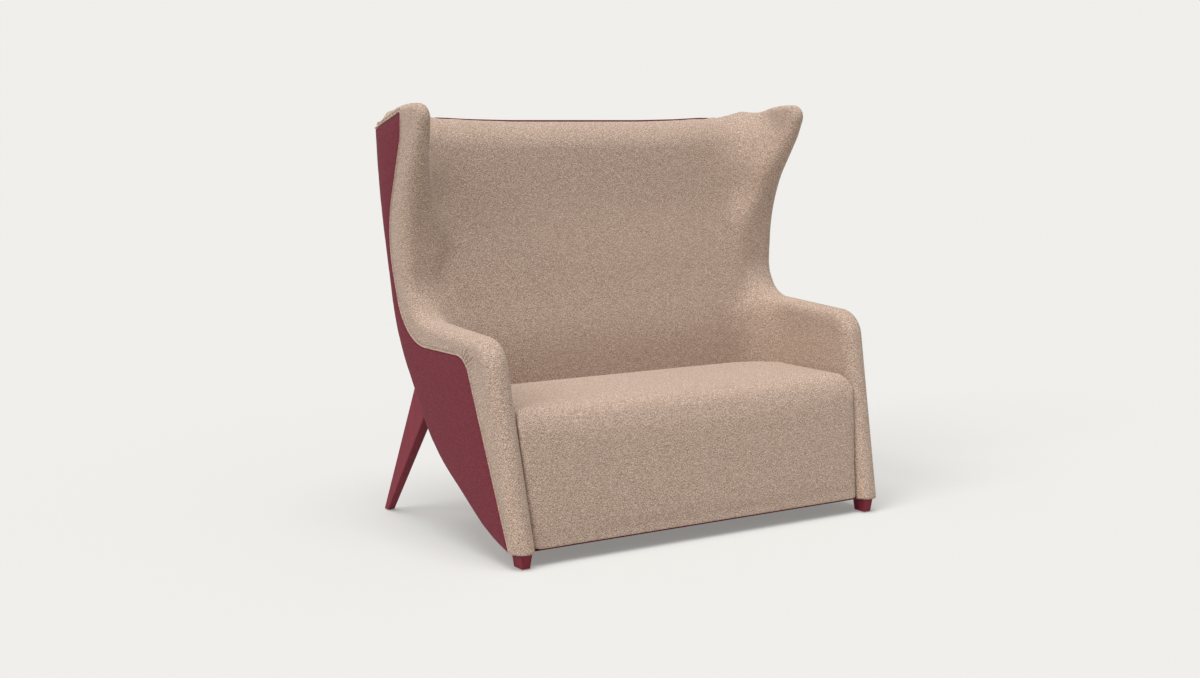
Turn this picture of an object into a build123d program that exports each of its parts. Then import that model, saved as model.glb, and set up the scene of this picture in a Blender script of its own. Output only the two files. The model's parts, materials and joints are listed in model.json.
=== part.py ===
from build123d import *
import math
import os

# High back settee: two upholstered wing sides, a raked back, a wedge seat and lacquered legs.
#
# Millimetres. Seen from the front, X runs to the right, Y runs away to the back and Z runs up.
# The origin is on the floor, in the middle of the footprint. The sides lean outward, so each
# right-hand piece is drawn in a leaning side plane, and its left-hand twin is its mirror.
# In a side plane the first coordinate is Y and the second runs up the leaning face.

os.makedirs("parts", exist_ok=True)

# ---------------------------------------------------------------- driving dimensions
# Side planes
side_half_width = 675.0        # outer face of a side, at floor level, from the middle
side_lean = 2.29               # degrees that a side leans outward
side_thickness = 74.0          # wing and arm, outer face to inner face
nose_radius = 35.0             # rounding of the wing and arm roll

# Side outline, front (corner points are where the straight runs would meet)
roll_bottom = 46.0             # underside of the roll and seat front above the floor
roll_foot_reach = 454.0        # how far the roll stands forward at its bottom
arm_height = 637.0             # front end of the arm's top line
arm_front_reach = 329.0        # how far the arm's front corner stands forward
arm_rise = 26.0                # what the arm's top line gains on its way back
wing_back = 152.0              # where the arm's top line meets the wing
wing_waist_height = 985.0      # where the wing starts to lean forward
wing_waist_back = 146.0
wing_neck_height = 1193.0      # where the wing straightens under its tip
wing_neck_back = 31.0
wing_tip_height = 1301.0       # the tip's corner before rounding
wing_tip_reach = 9.0
wing_crest_height = 1305.0     # where the wing's top starts to fall to the back
wing_crest_back = 149.0
arm_front_radius = 93.0
arm_wing_radius = 128.0
wing_waist_radius = 490.0
wing_neck_radius = 120.0
wing_tip_radius = 41.0
wing_crest_radius = 480.0

# Side outline, rear: down the back and forward under the seat
shell_top_height = 1247.0
shell_top_back = 312.0
shell_crown_height = 1063.0
shell_crown_back = 316.0
shell_waist_height = 599.0
shell_waist_back = 239.0
shell_heel_height = 279.0
shell_heel_back = 27.0
shell_belly_height = 80.0
shell_belly_reach = 291.0
shell_front_height = 45.0
shell_front_reach = 411.0
shell_crown_radius = 1750.0
shell_waist_radius = 541.0
shell_heel_radius = 486.0
shell_belly_radius = 510.0

# Seam between the beige roll and the outer side panel
seam_arm_height = 582.0
seam_arm_reach = 202.0
seam_wing_back = 179.0
seam_wing_height = 580.0
seam_waist_back = 269.0
seam_waist_height = 908.0
seam_neck_back = 140.0
seam_neck_height = 1205.0
seam_tip_back = 132.0
seam_tip_height = 1283.0
seam_rear_height = 1229.0      # the panel's top edge where it meets the back
seam_arm_radius = 71.0
seam_wing_radius = 175.0
seam_waist_radius = 364.0
seam_neck_radius = 40.0
seam_tip_radius = 9.0
welt_width = 5.0
welt_proud = 1.6

# Seat and back
seat_height = 440.0
seat_crown = 6.0
seat_crown_radius = 900.0
seat_front_reach = 372.0       # seat front at seat height
seat_foot_reach = 431.0        # seat front at its bottom edge
seat_front_radius = 62.0
seat_side_radius = 16.0
back_foot = 92.0               # face of the back at seat height
back_rake = 9.65               # degrees that the back leans
back_corner_radius = 165.0     # hollow where the back turns into the wings
corner_run_out = 4.0           # the hollow ends this deep in the wing, in a thin edge
pad_bottom = 400.0             # hidden lower edge of the back pad
back_top_height = 1238.0       # rear edge of the back's top, in the middle
top_slope = 13.3               # degrees that the top edge rises towards the front
top_back_start = 330.0         # behind the back, where the top edge is drawn from
top_end_rise = 9.0             # the top edge is this much higher at the sides

# Layers
cover_thickness = 3.0          # beige fabric with its wadding
side_cover_thickness = 7.0     # burgundy fabric on its padding, outer sides
side_board_thickness = 18.0
board_edge_padding = 45.0      # side board beyond the seam at most
board_front_inset = 22.0       # side board behind the front outline at least
shell_cover_thickness = 2.5    # burgundy fabric, back and underside
shell_board_thickness = 6.0
fit = 0.5                      # clearance between separately upholstered blocks

# Frame inside
rail_thickness = 25.0
top_rail_height = 1190.0
top_rail_width = 70.0
lumbar_rail_height = 780.0
lumbar_rail_width = 60.0
lower_rail_height = 500.0
lower_rail_width = 60.0
webbing_height = 342.0         # top of the seat frame, where the webbing lies
rear_rail_back = 62.0
rear_rail_depth = 62.0
rear_rail_width = 76.0
side_rail_width = 60.0
front_board_thickness = 15.0
front_padding = 30.0           # foam in front of the seat's front board
base_rail_height = 158.0
base_rail_width = 60.0
rib_thickness = 18.0
rib_depth = 45.0
rib_spacing = 310.0
rib_bottom = 500.0
rib_top = 1215.0
rib_padding = 25.0             # least foam in front of a rib
strap_thickness = 1.6
strap_width = 50.0
seat_straps = 7
seat_strap_spacing = 175.0
cross_straps = 3
cross_strap_spacing = 110.0
cross_strap_middle = -150.0
back_strap_heights = (640.0, 870.0, 960.0, 1050.0)
corner_block_leg = 60.0
corner_block_height = 90.0
corner_block_bottom = 190.0

# Rear legs: flat tapered boards on the inner face of the side boards
leg_foot_back = 452.0
leg_foot_width = 28.0
leg_rear_rise = 485.0          # height where the leg's rear edge enters the back
leg_rear_entry = 156.0
leg_front_rise = 386.0         # height where its front edge enters the underside
leg_front_entry = 100.0
leg_top_height = 570.0
leg_top_front = 45.0
leg_top_back = 125.0
leg_heel_height = 115.0         # straight front edge of the hidden upper end
leg_thickness = 25.0           # at the foot
leg_thickness_gain = 10.0      # what it gains up to where it enters the back
leg_edge_radius = 4.0

# Front feet
front_foot_reach = 437.0
front_foot_depth = 47.0
front_foot_width = 27.0
front_foot_half_span = 649.5   # outer face of a foot at the floor, from the middle
front_foot_flare = 6.0         # each side grows by this up to the upholstery
foot_edge_radius = 2.0
foot_block_inset = 10.0         # foam in front of the foot block
foot_block_height = 62.0
foot_block_width = 40.0

# Fastenings and glides
glide_radius = 8.0
glide_height = 3.0
glide_pin_radius = 1.5
glide_pin_length = 12.0
glide_chamfer = 0.8
bolt_radius = 4.0
bolt_head_radius = 7.0
bolt_head_height = 4.0
tee_nut_radius = 11.0
tee_nut_flange = 1.6
tee_nut_barrel_radius = 5.5
tee_nut_length = 14.0
washer_radius = 9.0
washer_thickness = 1.6
bolt_seat_depth = 58.0         # bearing face of the leg bolts, from the outer face
leg_bolt_places = ((70.0, 548.0), (66.0, 505.0), (82.0, 458.0))
stud_length = 75.0
stud_bottom = 22.0
stud_forward = 5.0             # stud ahead of the foot's middle, clear of the shell
screw_radius = 2.5
screw_length = 60.0
screw_head_radius = 5.0
screw_head_height = 3.0
screw_spread = 36.0            # between the two screws of the top rail

# ---------------------------------------------------------------- derived places
lean = math.radians(side_lean)
rake = math.radians(back_rake)
slope = math.radians(top_slope)
shell_thickness = shell_cover_thickness + shell_board_thickness
board_inner_depth = side_cover_thickness + side_board_thickness
top_half_span = side_half_width + side_thickness
reach = 1500.0                 # well outside the settee
far = 900.0                    # well outside a side outline


def beyond(start, end, extra):
    """The point that lies extra past end, on the line from start."""
    run = math.hypot(end[0] - start[0], end[1] - start[1])
    return (
        end[0] + (end[0] - start[0]) * extra / run,
        end[1] + (end[1] - start[1]) * extra / run,
    )


def side_plane(depth, hand=1):
    """The plane depth inside an outer face, hand 1 or -1; its normal points outward."""
    start = (hand * (side_half_width - depth * math.cos(lean)), 0, depth * math.sin(lean))
    normal = (hand * math.cos(lean), 0, -math.sin(lean))
    return Plane(origin=start, x_dir=(0, 1, 0), z_dir=normal)


roll_foot = (-roll_foot_reach, roll_bottom)
arm_corner = (-arm_front_reach, arm_height)
wing_crest = (wing_crest_back, wing_crest_height)
shell_top = (shell_top_back, shell_top_height)
shell_crown = (shell_crown_back, shell_crown_height)
shell_belly = (-shell_belly_reach, shell_belly_height)
shell_front = (-shell_front_reach, shell_front_height)
front_points = [
    beyond(arm_corner, roll_foot, 2 * roll_bottom),
    arm_corner,
    (wing_back, arm_height + arm_rise),
    (wing_waist_back, wing_waist_height),
    (wing_neck_back, wing_neck_height),
    (-wing_tip_reach, wing_tip_height),
    wing_crest,
    beyond(wing_crest, shell_top, side_thickness),
]
front_radii = [
    arm_front_radius,
    arm_wing_radius,
    wing_waist_radius,
    wing_neck_radius,
    wing_tip_radius,
    wing_crest_radius,
]
rear_points = [
    beyond(shell_crown, shell_top, side_thickness),
    shell_crown,
    (shell_waist_back, shell_waist_height),
    (shell_heel_back, shell_heel_height),
    shell_belly,
    beyond(shell_belly, shell_front, side_thickness),
]
rear_radii = [shell_crown_radius, shell_waist_radius, shell_heel_radius, shell_belly_radius]
seam_arm = (-seam_arm_reach, seam_arm_height)
seam_tip = (seam_tip_back, seam_tip_height)
seam_points = [
    beyond(seam_arm, shell_front, 2 * roll_bottom),
    seam_arm,
    (seam_wing_back, seam_wing_height),
    (seam_waist_back, seam_waist_height),
    (seam_neck_back, seam_neck_height),
    seam_tip,
    beyond(seam_tip, (shell_top_back, seam_rear_height), side_thickness),
]
seam_radii = [
    seam_arm_radius,
    seam_wing_radius,
    seam_waist_radius,
    seam_neck_radius,
    seam_tip_radius,
]


def back_face(height, inset=0.0):
    """How far back the raked face of the back lies at a height, inset into the padding."""
    return back_foot + (height - seat_height) * math.tan(rake) + inset / math.cos(rake)


# ---------------------------------------------------------------- regions of the side view
def region_behind_front(inset=0.0):
    """Everything behind the roll's front outline, drawn inset mm inside it."""
    with BuildSketch() as region:
        with BuildLine() as outline:
            FilletPolyline(*front_points, radius=front_radii)
            if inset:
                offset(amount=inset, side=Side.RIGHT, closed=False)
            start, end = outline.line @ 0, outline.line @ 1
            Polyline(end, (far, end.Y), (far, start.Y), start)
        make_face()
    return region.sketch


def region_behind_wing(inset):
    """Everything behind the arm and the wing, inset mm in, as if the wing ran on upward."""
    neck = front_points[4]
    with BuildSketch() as region:
        with BuildLine() as outline:
            FilletPolyline(
                *front_points[:5],
                beyond(neck, front_points[5], far),
                radius=front_radii[:4],
            )
            offset(amount=inset, side=Side.RIGHT, closed=False)
            start, end = outline.line @ 0, outline.line @ 1
            Polyline(end, (far, end.Y), (far, start.Y), start)
        make_face()
    return region.sketch


def region_inside_shell(inset=0.0):
    """Everything in front of and above the rear outline, drawn inset mm inside it."""
    with BuildSketch() as region:
        with BuildLine() as outline:
            FilletPolyline(*rear_points, radius=rear_radii)
            if inset:
                offset(amount=inset, side=Side.RIGHT, closed=False)
            start, end = outline.line @ 0, outline.line @ 1
            Polyline(end, (-far, end.Y), (-far, start.Y + far), (start.X, start.Y + far), start)
        make_face()
    return region.sketch


def region_inside_seam(grow=0.0):
    """Everything behind and below the seam, drawn grow mm outside it."""
    with BuildSketch() as region:
        with BuildLine() as outline:
            FilletPolyline(*seam_points, radius=seam_radii)
            if grow:
                side = Side.LEFT if grow > 0 else Side.RIGHT
                offset(amount=abs(grow), side=side, closed=False)
            start, end = outline.line @ 0, outline.line @ 1
            Polyline(end, (far, end.Y), (far, start.Y), start)
        make_face()
    return region.sketch


def trim_to_depth(depth):
    """Keep what lies between the two leaning planes, each depth inside its outer face."""
    split(bisect_by=side_plane(depth), keep=Keep.BOTTOM)
    split(bisect_by=side_plane(depth, hand=-1), keep=Keep.BOTTOM)


def cut_with(*tools):
    """Take finished pieces away from the part being built."""
    for tool in tools:
        add(tool, mode=Mode.SUBTRACT)


def save(part, name):
    """Label a finished piece and write it under its own name."""
    part.label = name
    export_step(part, f"parts/{name}.step")


def save_pair(part, name):
    """Write a right-hand piece and its left-hand mirror image."""
    save(part, f"{name}_right")
    save(mirror(part, about=Plane.YZ), f"{name}_left")


with BuildLine() as shell_line:
    FilletPolyline(*rear_points, radius=rear_radii)
rear_path = shell_line.wires()[0]


def shell_station(height):
    """Point and direction of the rear outline where it passes a height."""
    low, high = 0.0, 1.0
    for _ in range(40):
        middle = (low + high) / 2
        if (rear_path @ middle).Y > height:
            low = middle
        else:
            high = middle
    return rear_path @ low, rear_path % low


# ---------------------------------------------------------------- outer shell
def shell_layer(outer_inset, inner_inset):
    """One layer of the curved back and underside, between the side panels."""
    with BuildPart() as layer:
        with BuildSketch(Plane.YZ):
            with BuildLine():
                FilletPolyline(shell_top, *rear_points[1:-1], shell_front, radius=rear_radii)
                offset(amount=inner_inset, side=Side.RIGHT)
            make_face()
            add(region_inside_shell(outer_inset), mode=Mode.INTERSECT)
        extrude(amount=reach, both=True)
        trim_to_depth(side_cover_thickness)
    return layer.part


shell_cover = shell_layer(0, shell_cover_thickness)
shell_board = shell_layer(shell_cover_thickness, shell_thickness)
with BuildPart() as shell_space:
    with BuildSketch(Plane.YZ):
        for side, amount in ((Side.RIGHT, shell_thickness), (Side.LEFT, shell_thickness)):
            with BuildLine():
                FilletPolyline(shell_top, *rear_points[1:-1], shell_front, radius=rear_radii)
                offset(amount=amount, side=side)
            make_face()
    extrude(amount=reach, both=True)
    trim_to_depth(side_cover_thickness)


# ---------------------------------------------------------------- wing and arm sides
def front_edges(part):
    """The long edges of a roll along its front outline."""
    found = ShapeList()
    for edge in part.edges():
        place = side_plane(0).to_local_coords(edge @ 0.5)
        along = abs((edge % 0.5).dot(side_plane(0).z_dir)) < 0.5
        if along and rear_path.distance_to(Vector(place.X, place.Y, 0)) > 1:
            found.append(edge)
    return found


def roll_body(inset):
    """The wing and arm roll, inset mm inside its skin."""
    with BuildPart() as roll:
        with BuildSketch(side_plane(inset)):
            add(region_behind_front(inset))
            add(region_inside_shell(), mode=Mode.INTERSECT)
        extrude(amount=-(side_thickness - 2 * inset))
        fillet(front_edges(roll), nose_radius - inset)
        split(bisect_by=Plane.XY.offset(roll_bottom + inset), keep=Keep.TOP)
    return roll.part


with BuildPart() as welt:
    with BuildSketch(side_plane(-welt_proud)):
        add(region_inside_seam(welt_width / 2))
        add(region_inside_seam(-welt_width / 2), mode=Mode.SUBTRACT)
        add(region_inside_shell(), mode=Mode.INTERSECT)
    extrude(amount=-welt_width)

with BuildPart() as side_panel:
    with BuildSketch(side_plane(0)):
        add(region_inside_seam())
        add(region_inside_shell(), mode=Mode.INTERSECT)
    extrude(amount=-side_cover_thickness)
    cut_with(welt.part)

with BuildPart() as side_board:
    with BuildSketch(side_plane(side_cover_thickness)):
        add(region_inside_seam(board_edge_padding))
        add(region_behind_front(board_front_inset), mode=Mode.INTERSECT)
        add(region_inside_shell(), mode=Mode.INTERSECT)
    extrude(amount=-side_board_thickness)
    split(bisect_by=Plane.XY.offset(roll_bottom + cover_thickness), keep=Keep.TOP)
    cut_with(shell_space.part)

# ---------------------------------------------------------------- rear leg
with BuildPart() as rear_leg:
    with BuildSketch(side_plane(board_inner_depth)):
        with BuildLine():
            Polyline(
                (leg_foot_back, 0),
                (leg_rear_entry, leg_rear_rise),
                (leg_top_back, leg_top_height),
                (leg_top_front, leg_top_height),
                (leg_top_front, leg_top_height - leg_heel_height),
                (leg_front_entry, leg_front_rise),
                (leg_foot_back - leg_foot_width, 0),
                close=True,
            )
        make_face()
    extrude(amount=-2 * leg_thickness)
    inner_lean = lean - math.atan(leg_thickness_gain / leg_front_rise)
    inner_face = Plane(
        origin=side_plane(board_inner_depth + leg_thickness).origin,
        x_dir=(0, 1, 0),
        z_dir=(math.cos(inner_lean), 0, -math.sin(inner_lean)),
    )
    split(bisect_by=inner_face, keep=Keep.TOP)
    fillet(rear_leg.edges().sort_by(SortBy.LENGTH)[-4:], leg_edge_radius)
    split(bisect_by=Plane.XY.offset(glide_height), keep=Keep.TOP)

# ---------------------------------------------------------------- back pad
def sitting_space(inset, floor):
    """The air between the wings, in front of the back, grown inset mm into the padding."""
    top = wing_tip_height + side_thickness
    with BuildPart() as space:
        with BuildSketch(Plane.YZ):
            with BuildLine():
                Polyline(
                    (-far, floor),
                    (back_face(floor, inset), floor),
                    (back_face(top, inset), top),
                    (-far, top),
                    close=True,
                )
            make_face()
        extrude(amount=reach, both=True)
        trim_to_depth(side_thickness - corner_run_out - inset)
        corners = space.edges().filter_by(lambda edge: abs((edge % 0.5).Z) > 0.5)
        fillet(corners.group_by(Axis.Y)[-1], back_corner_radius + inset)
    return space.part


def space_above_top(inset):
    """Everything above the top edge of the back, lowered inset mm."""
    drop = inset / math.cos(slope)
    start_height = back_top_height - drop - (top_back_start - shell_top_back) * math.tan(slope)
    with BuildPart() as above:
        with BuildSketch(Plane.XZ.offset(-top_back_start)):
            with BuildLine():
                left = (-top_half_span, start_height + top_end_rise)
                right = (top_half_span, start_height + top_end_rise)
                arc = ThreePointArc(left, (0, start_height), right)
                above_all = far + far
                Polyline(arc @ 1, (top_half_span, above_all), (-top_half_span, above_all), arc @ 0)
            make_face()
        extrude(amount=far, dir=(0, -math.cos(slope), math.sin(slope)))
    return above.part


def region_of_back(inset):
    """Behind the back's face, and in the hollows also behind the rounded wing edges."""
    with BuildSketch() as region:
        add(region_behind_wing(nose_radius + inset))
        with BuildLine():
            face_top = far + far
            Polyline(
                (back_face(0, inset - fit), 0),
                (far, 0),
                (far, face_top),
                (back_face(face_top, inset - fit), face_top),
                close=True,
            )
        make_face()
    return region.sketch


def back_body(inset):
    """The raked back pad with its hollow corners, inset mm inside its skin."""
    space = sitting_space(inset, pad_bottom - fit)
    above = space_above_top(inset)
    with BuildPart() as pad:
        with BuildSketch(Plane.YZ):
            with BuildLine():
                front = back_foot - 2 * back_corner_radius
                above_all = far + far
                Polyline(
                    (front, pad_bottom),
                    (far, pad_bottom),
                    (far, above_all),
                    (front, above_all),
                    close=True,
                )
            make_face()
            add(region_inside_shell(shell_thickness), mode=Mode.INTERSECT)
            add(region_of_back(inset), mode=Mode.INTERSECT)
        extrude(amount=reach, both=True)
        cut_with(space, above)
        top_edges = ShapeList()
        for edge in pad.edges():
            points = [edge @ share for share in (0.1, 0.5, 0.9)]
            if all(max(space.distance_to(p), above.distance_to(p)) < 0.1 for p in points):
                top_edges.append(edge)
        fillet(top_edges, nose_radius - inset)
        trim_to_depth(side_thickness)
    return pad.part


# ---------------------------------------------------------------- seat block
def seat_front(height, inset=0.0):
    """How far forward the seat's front face lies at a height, inset into the padding."""
    run = (seat_foot_reach - seat_front_reach) / (seat_height - roll_bottom)
    return -seat_front_reach - (seat_height - height) * run + inset * math.hypot(1, run)


def seat_body(inset):
    """The crowned seat block between arms, back and underside, inset mm inside its skin."""
    with BuildPart() as seat:
        with BuildSketch(Plane.YZ):
            with BuildLine() as outline:
                FilletPolyline(
                    (seat_front(0), 0),
                    (seat_front(seat_height), seat_height),
                    ((back_foot - seat_front_reach) / 2, seat_height + seat_crown),
                    (back_foot + seat_crown, seat_height - seat_crown / 2),
                    radius=[seat_front_radius, seat_crown_radius],
                )
                if inset:
                    offset(amount=inset, side=Side.RIGHT, closed=False)
                start, end = outline.line @ 0, outline.line @ 1
                Polyline(end, (end.X, start.Y), start)
            make_face()
            add(region_inside_shell(shell_thickness), mode=Mode.INTERSECT)
        extrude(amount=reach, both=True)
        add(sitting_space(-fit - inset, 0), mode=Mode.INTERSECT)
        with BuildSketch(Plane.XZ):
            with BuildLine():
                half = side_half_width
                crown = ThreePointArc(
                    (-half, seat_height - inset),
                    (0, seat_height + seat_crown - inset),
                    (half, seat_height - inset),
                )
                Polyline(crown @ 1, (half, 0), (-half, 0), crown @ 0)
            make_face()
        extrude(amount=far, both=True, mode=Mode.INTERSECT)
        trim_to_depth(side_thickness + fit + inset)
        rims = ShapeList()
        for edge in seat.edges():
            middle = edge @ 0.5
            depth = -side_plane(0).to_local_coords(Vector(abs(middle.X), middle.Y, middle.Z)).Z
            on_side = abs(depth - side_thickness - fit - inset) < 0.1
            on_top = middle.Z > seat_height - seat_front_radius
            in_front = middle.Y < seat_front(middle.Z, seat_side_radius)
            on_front = in_front and middle.Z > roll_bottom + seat_side_radius
            if on_side and (on_top or on_front):
                rims.append(edge)
        fillet(rims, seat_side_radius - inset)
        split(bisect_by=Plane.XY.offset(roll_bottom), keep=Keep.TOP)
    return seat.part


# ---------------------------------------------------------------- frame
def section_on_shell(height, width, start_inset, thickness):
    """A rectangle that follows the rear outline at a height, start_inset mm inside it."""
    point, direction = shell_station(height)
    angle = math.degrees(math.atan2(direction.Y, direction.X)) + 90
    with BuildSketch() as section:
        with Locations(Location((point.X, point.Y), angle)):
            with Locations((-start_inset, 0)):
                Rectangle(thickness, width, align=(Align.MAX, Align.CENTER))
    return section.sketch


def section_between(points):
    """A section of the side view with straight sides."""
    with BuildSketch() as section:
        with BuildLine():
            Polyline(*points, close=True)
        make_face()
    return section.sketch


def rail(section):
    """A rail along X between the side boards, planed to the shell and clear of the legs."""
    with BuildPart() as piece:
        with BuildSketch(Plane.YZ):
            add(section)
            add(region_inside_shell(shell_thickness), mode=Mode.INTERSECT)
        extrude(amount=reach, both=True)
        trim_to_depth(board_inner_depth)
        cut_with(rear_leg.part, left_leg)
    return piece.part


left_leg = mirror(rear_leg.part, about=Plane.YZ)
rail_reach = shell_thickness + rail_thickness
board_face_inset = cover_thickness + front_padding
board_rear_inset = board_face_inset + front_board_thickness
top_rail = rail(section_on_shell(top_rail_height, top_rail_width, 0, rail_reach))
lumbar_rail = rail(section_on_shell(lumbar_rail_height, lumbar_rail_width, 0, rail_reach))
lower_back_rail = rail(section_on_shell(lower_rail_height, lower_rail_width, 0, rail_reach))
seat_base_rail = rail(section_on_shell(base_rail_height, base_rail_width, 0, rail_reach))
seat_rear_rail = rail(
    section_between(
        [
            (rear_rail_back - rear_rail_depth, webbing_height - rear_rail_width),
            (rear_rail_back, webbing_height - rear_rail_width),
            (rear_rail_back, webbing_height),
            (rear_rail_back - rear_rail_depth, webbing_height),
        ]
    )
)
seat_front_board = rail(
    section_between(
        [
            (seat_front(0, board_face_inset), 0),
            (seat_front(0, board_rear_inset), 0),
            (seat_front(webbing_height, board_rear_inset), webbing_height),
            (seat_front(webbing_height, board_face_inset), webbing_height),
        ]
    )
)
back_rails = [top_rail, lumbar_rail, lower_back_rail]

side_rail_top = webbing_height + strap_thickness
side_rail_bottom = side_rail_top - side_rail_width
rear_rail_front = rear_rail_back - rear_rail_depth
with BuildPart() as seat_side_rail:
    with BuildSketch(side_plane(board_inner_depth)):
        add(
            section_between(
                [
                    (seat_front(side_rail_bottom, board_rear_inset), side_rail_bottom),
                    (rear_rail_front, side_rail_bottom),
                    (rear_rail_front, side_rail_top),
                    (seat_front(side_rail_top, board_rear_inset), side_rail_top),
                ]
            )
        )
    extrude(amount=-rail_thickness)
    split(bisect_by=Plane.XY.offset(side_rail_top), keep=Keep.BOTTOM)
    cut_with(seat_front_board)

# Ribs: curved formers between the rails, notched over them
rib_front_depth = shell_thickness + rib_depth


def back_rib(place):
    """A curved former at a distance place from the middle."""
    with BuildPart() as rib:
        with BuildSketch(Plane.YZ.offset(place)):
            add(region_inside_shell(shell_thickness))
            add(region_inside_shell(rib_front_depth), mode=Mode.SUBTRACT)
            add(
                section_between(
                    [
                        (back_face(rib_bottom, cover_thickness + rib_padding), rib_bottom),
                        (far, rib_bottom),
                        (far, rib_top),
                        (back_face(rib_top, cover_thickness + rib_padding), rib_top),
                    ]
                ),
                mode=Mode.INTERSECT,
            )
        extrude(amount=rib_thickness / 2, both=True)
        cut_with(*back_rails)
    return rib.part


back_ribs = {
    "left": back_rib(-rib_spacing),
    "centre": back_rib(0),
    "right": back_rib(rib_spacing),
}

# Webbing
webbing_top = side_rail_top + strap_thickness
with BuildPart() as seat_webbing:
    strap_front = seat_front(webbing_top, board_face_inset)
    strap_length = rear_rail_back - shell_thickness - strap_front
    with Locations((0, strap_front, webbing_height)):
        with GridLocations(seat_strap_spacing, 1, seat_straps, 1):
            Box(
                strap_width,
                strap_length,
                strap_thickness,
                align=(Align.CENTER, Align.MIN, Align.MIN),
            )

with BuildPart() as seat_cross_webbing:
    with Locations((0, cross_strap_middle, side_rail_top)):
        with GridLocations(1, cross_strap_spacing, 1, cross_straps):
            Box(
                2 * side_half_width,
                strap_width,
                strap_thickness,
                align=(Align.CENTER, Align.CENTER, Align.MIN),
            )
    trim_to_depth(board_inner_depth)

with BuildPart() as back_webbing:
    for height in back_strap_heights:
        with BuildSketch(Plane.YZ):
            add(section_on_shell(height, strap_width, rib_front_depth, strap_thickness))
        extrude(amount=reach, both=True)
    trim_to_depth(board_inner_depth)
    cut_with(*back_ribs.values())

# Corner blocks behind the front board and foot blocks in front of it
with BuildPart() as corner_block:
    with BuildSketch(Plane.XY.offset(corner_block_bottom)):
        with BuildLine():
            corner_x = side_half_width - board_inner_depth
            corner_y = seat_front(corner_block_bottom, board_rear_inset)
            Polyline(
                (corner_x - corner_block_leg, corner_y),
                (corner_x, corner_y + corner_block_leg),
                (reach, corner_y + corner_block_leg),
                (reach, -far),
                (corner_x - corner_block_leg, -far),
                close=True,
            )
        make_face()
    extrude(amount=corner_block_height)
    trim_to_depth(board_inner_depth)
    front_tilt = Plane(
        origin=(0, seat_front(0, board_rear_inset), 0),
        x_dir=(1, 0, 0),
        z_dir=(0, -(seat_height - roll_bottom), seat_foot_reach - seat_front_reach),
    )
    split(bisect_by=front_tilt, keep=Keep.BOTTOM)

with BuildPart() as foot_block:
    with BuildSketch(side_plane(board_inner_depth)):
        block_bottom = roll_bottom + cover_thickness
        add(
            section_between(
                [
                    (-far, block_bottom),
                    (0, block_bottom),
                    (0, block_bottom + foot_block_height),
                    (-far, block_bottom + foot_block_height),
                ]
            )
        )
        add(region_behind_front(foot_block_inset), mode=Mode.INTERSECT)
        add(
            section_between(
                [
                    (seat_front(0, board_face_inset), 0),
                    (seat_front(seat_height, board_face_inset), seat_height),
                    (-far, seat_height),
                    (-far, 0),
                ]
            ),
            mode=Mode.INTERSECT,
        )
    extrude(amount=-foot_block_width)
    split(bisect_by=Plane.XY.offset(block_bottom), keep=Keep.TOP)
    cut_with(shell_space.part, seat_front_board)

# ---------------------------------------------------------------- front foot and glides
foot_centre = (
    front_foot_half_span - front_foot_width / 2,
    front_foot_depth / 2 - front_foot_reach,
)
foot_top = roll_bottom + shell_thickness
with BuildPart() as front_foot:
    with BuildSketch(Plane.XY.offset(glide_height)):
        with Locations(foot_centre):
            Rectangle(front_foot_width, front_foot_depth)
    with BuildSketch(Plane.XY.offset(foot_top)):
        with Locations(foot_centre):
            flare = 2 * front_foot_flare
            Rectangle(front_foot_width + flare, front_foot_depth + flare)
    loft()
    uprights = front_foot.edges().filter_by(lambda edge: abs((edge % 0.5).Z) > 0.9)
    fillet(uprights, foot_edge_radius)

leg_foot_centre = (
    side_half_width - board_inner_depth - leg_thickness / 2,
    leg_foot_back - leg_foot_width / 2,
)


def glide(centre):
    """A nylon nail-on glide with its pin up in the foot."""
    with BuildPart() as piece:
        with Locations((centre[0], centre[1], 0)):
            Cylinder(glide_radius, glide_height, align=(Align.CENTER, Align.CENTER, Align.MIN))
            Cylinder(
                glide_pin_radius,
                glide_height + glide_pin_length,
                align=(Align.CENTER, Align.CENTER, Align.MIN),
            )
        chamfer(piece.edges().group_by(Axis.Z)[0], glide_chamfer)
    return piece.part


front_glide = glide(foot_centre)
rear_glide = glide(leg_foot_centre)


# ---------------------------------------------------------------- fastenings
def disc(plane, places, radius, length):
    """Round stock of one length from a plane inward, at each place, added to the part."""
    with BuildSketch(plane) as circles:
        with Locations(*places):
            Circle(radius)
    return extrude(circles.sketch, amount=-length, mode=Mode.PRIVATE)


bolt_start = side_cover_thickness + tee_nut_flange
with BuildPart() as leg_bolt:
    shank_length = bolt_seat_depth + washer_thickness - bolt_start
    add(disc(side_plane(bolt_start), leg_bolt_places, bolt_radius, shank_length))
    head_plane = side_plane(bolt_seat_depth + washer_thickness)
    add(disc(head_plane, leg_bolt_places, bolt_head_radius, bolt_head_height))

with BuildPart() as leg_washer:
    add(disc(side_plane(bolt_seat_depth), leg_bolt_places, washer_radius, washer_thickness))
    cut_with(leg_bolt.part)

with BuildPart() as tee_nut:
    board_face = side_plane(side_cover_thickness)
    add(disc(board_face, leg_bolt_places, tee_nut_radius, tee_nut_flange))
    add(disc(board_face, leg_bolt_places, tee_nut_barrel_radius, tee_nut_length))
    cut_with(leg_bolt.part)

with BuildPart() as leg_bolt_clearance:
    add(disc(side_plane(0), leg_bolt_places, bolt_radius, side_thickness))
    add(disc(side_plane(bolt_seat_depth), leg_bolt_places, washer_radius, side_thickness))

with BuildPart() as foot_stud:
    with Locations((foot_centre[0], foot_centre[1] - stud_forward, stud_bottom)):
        Cylinder(bolt_radius, stud_length, align=(Align.CENTER, Align.CENTER, Align.MIN))


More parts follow.
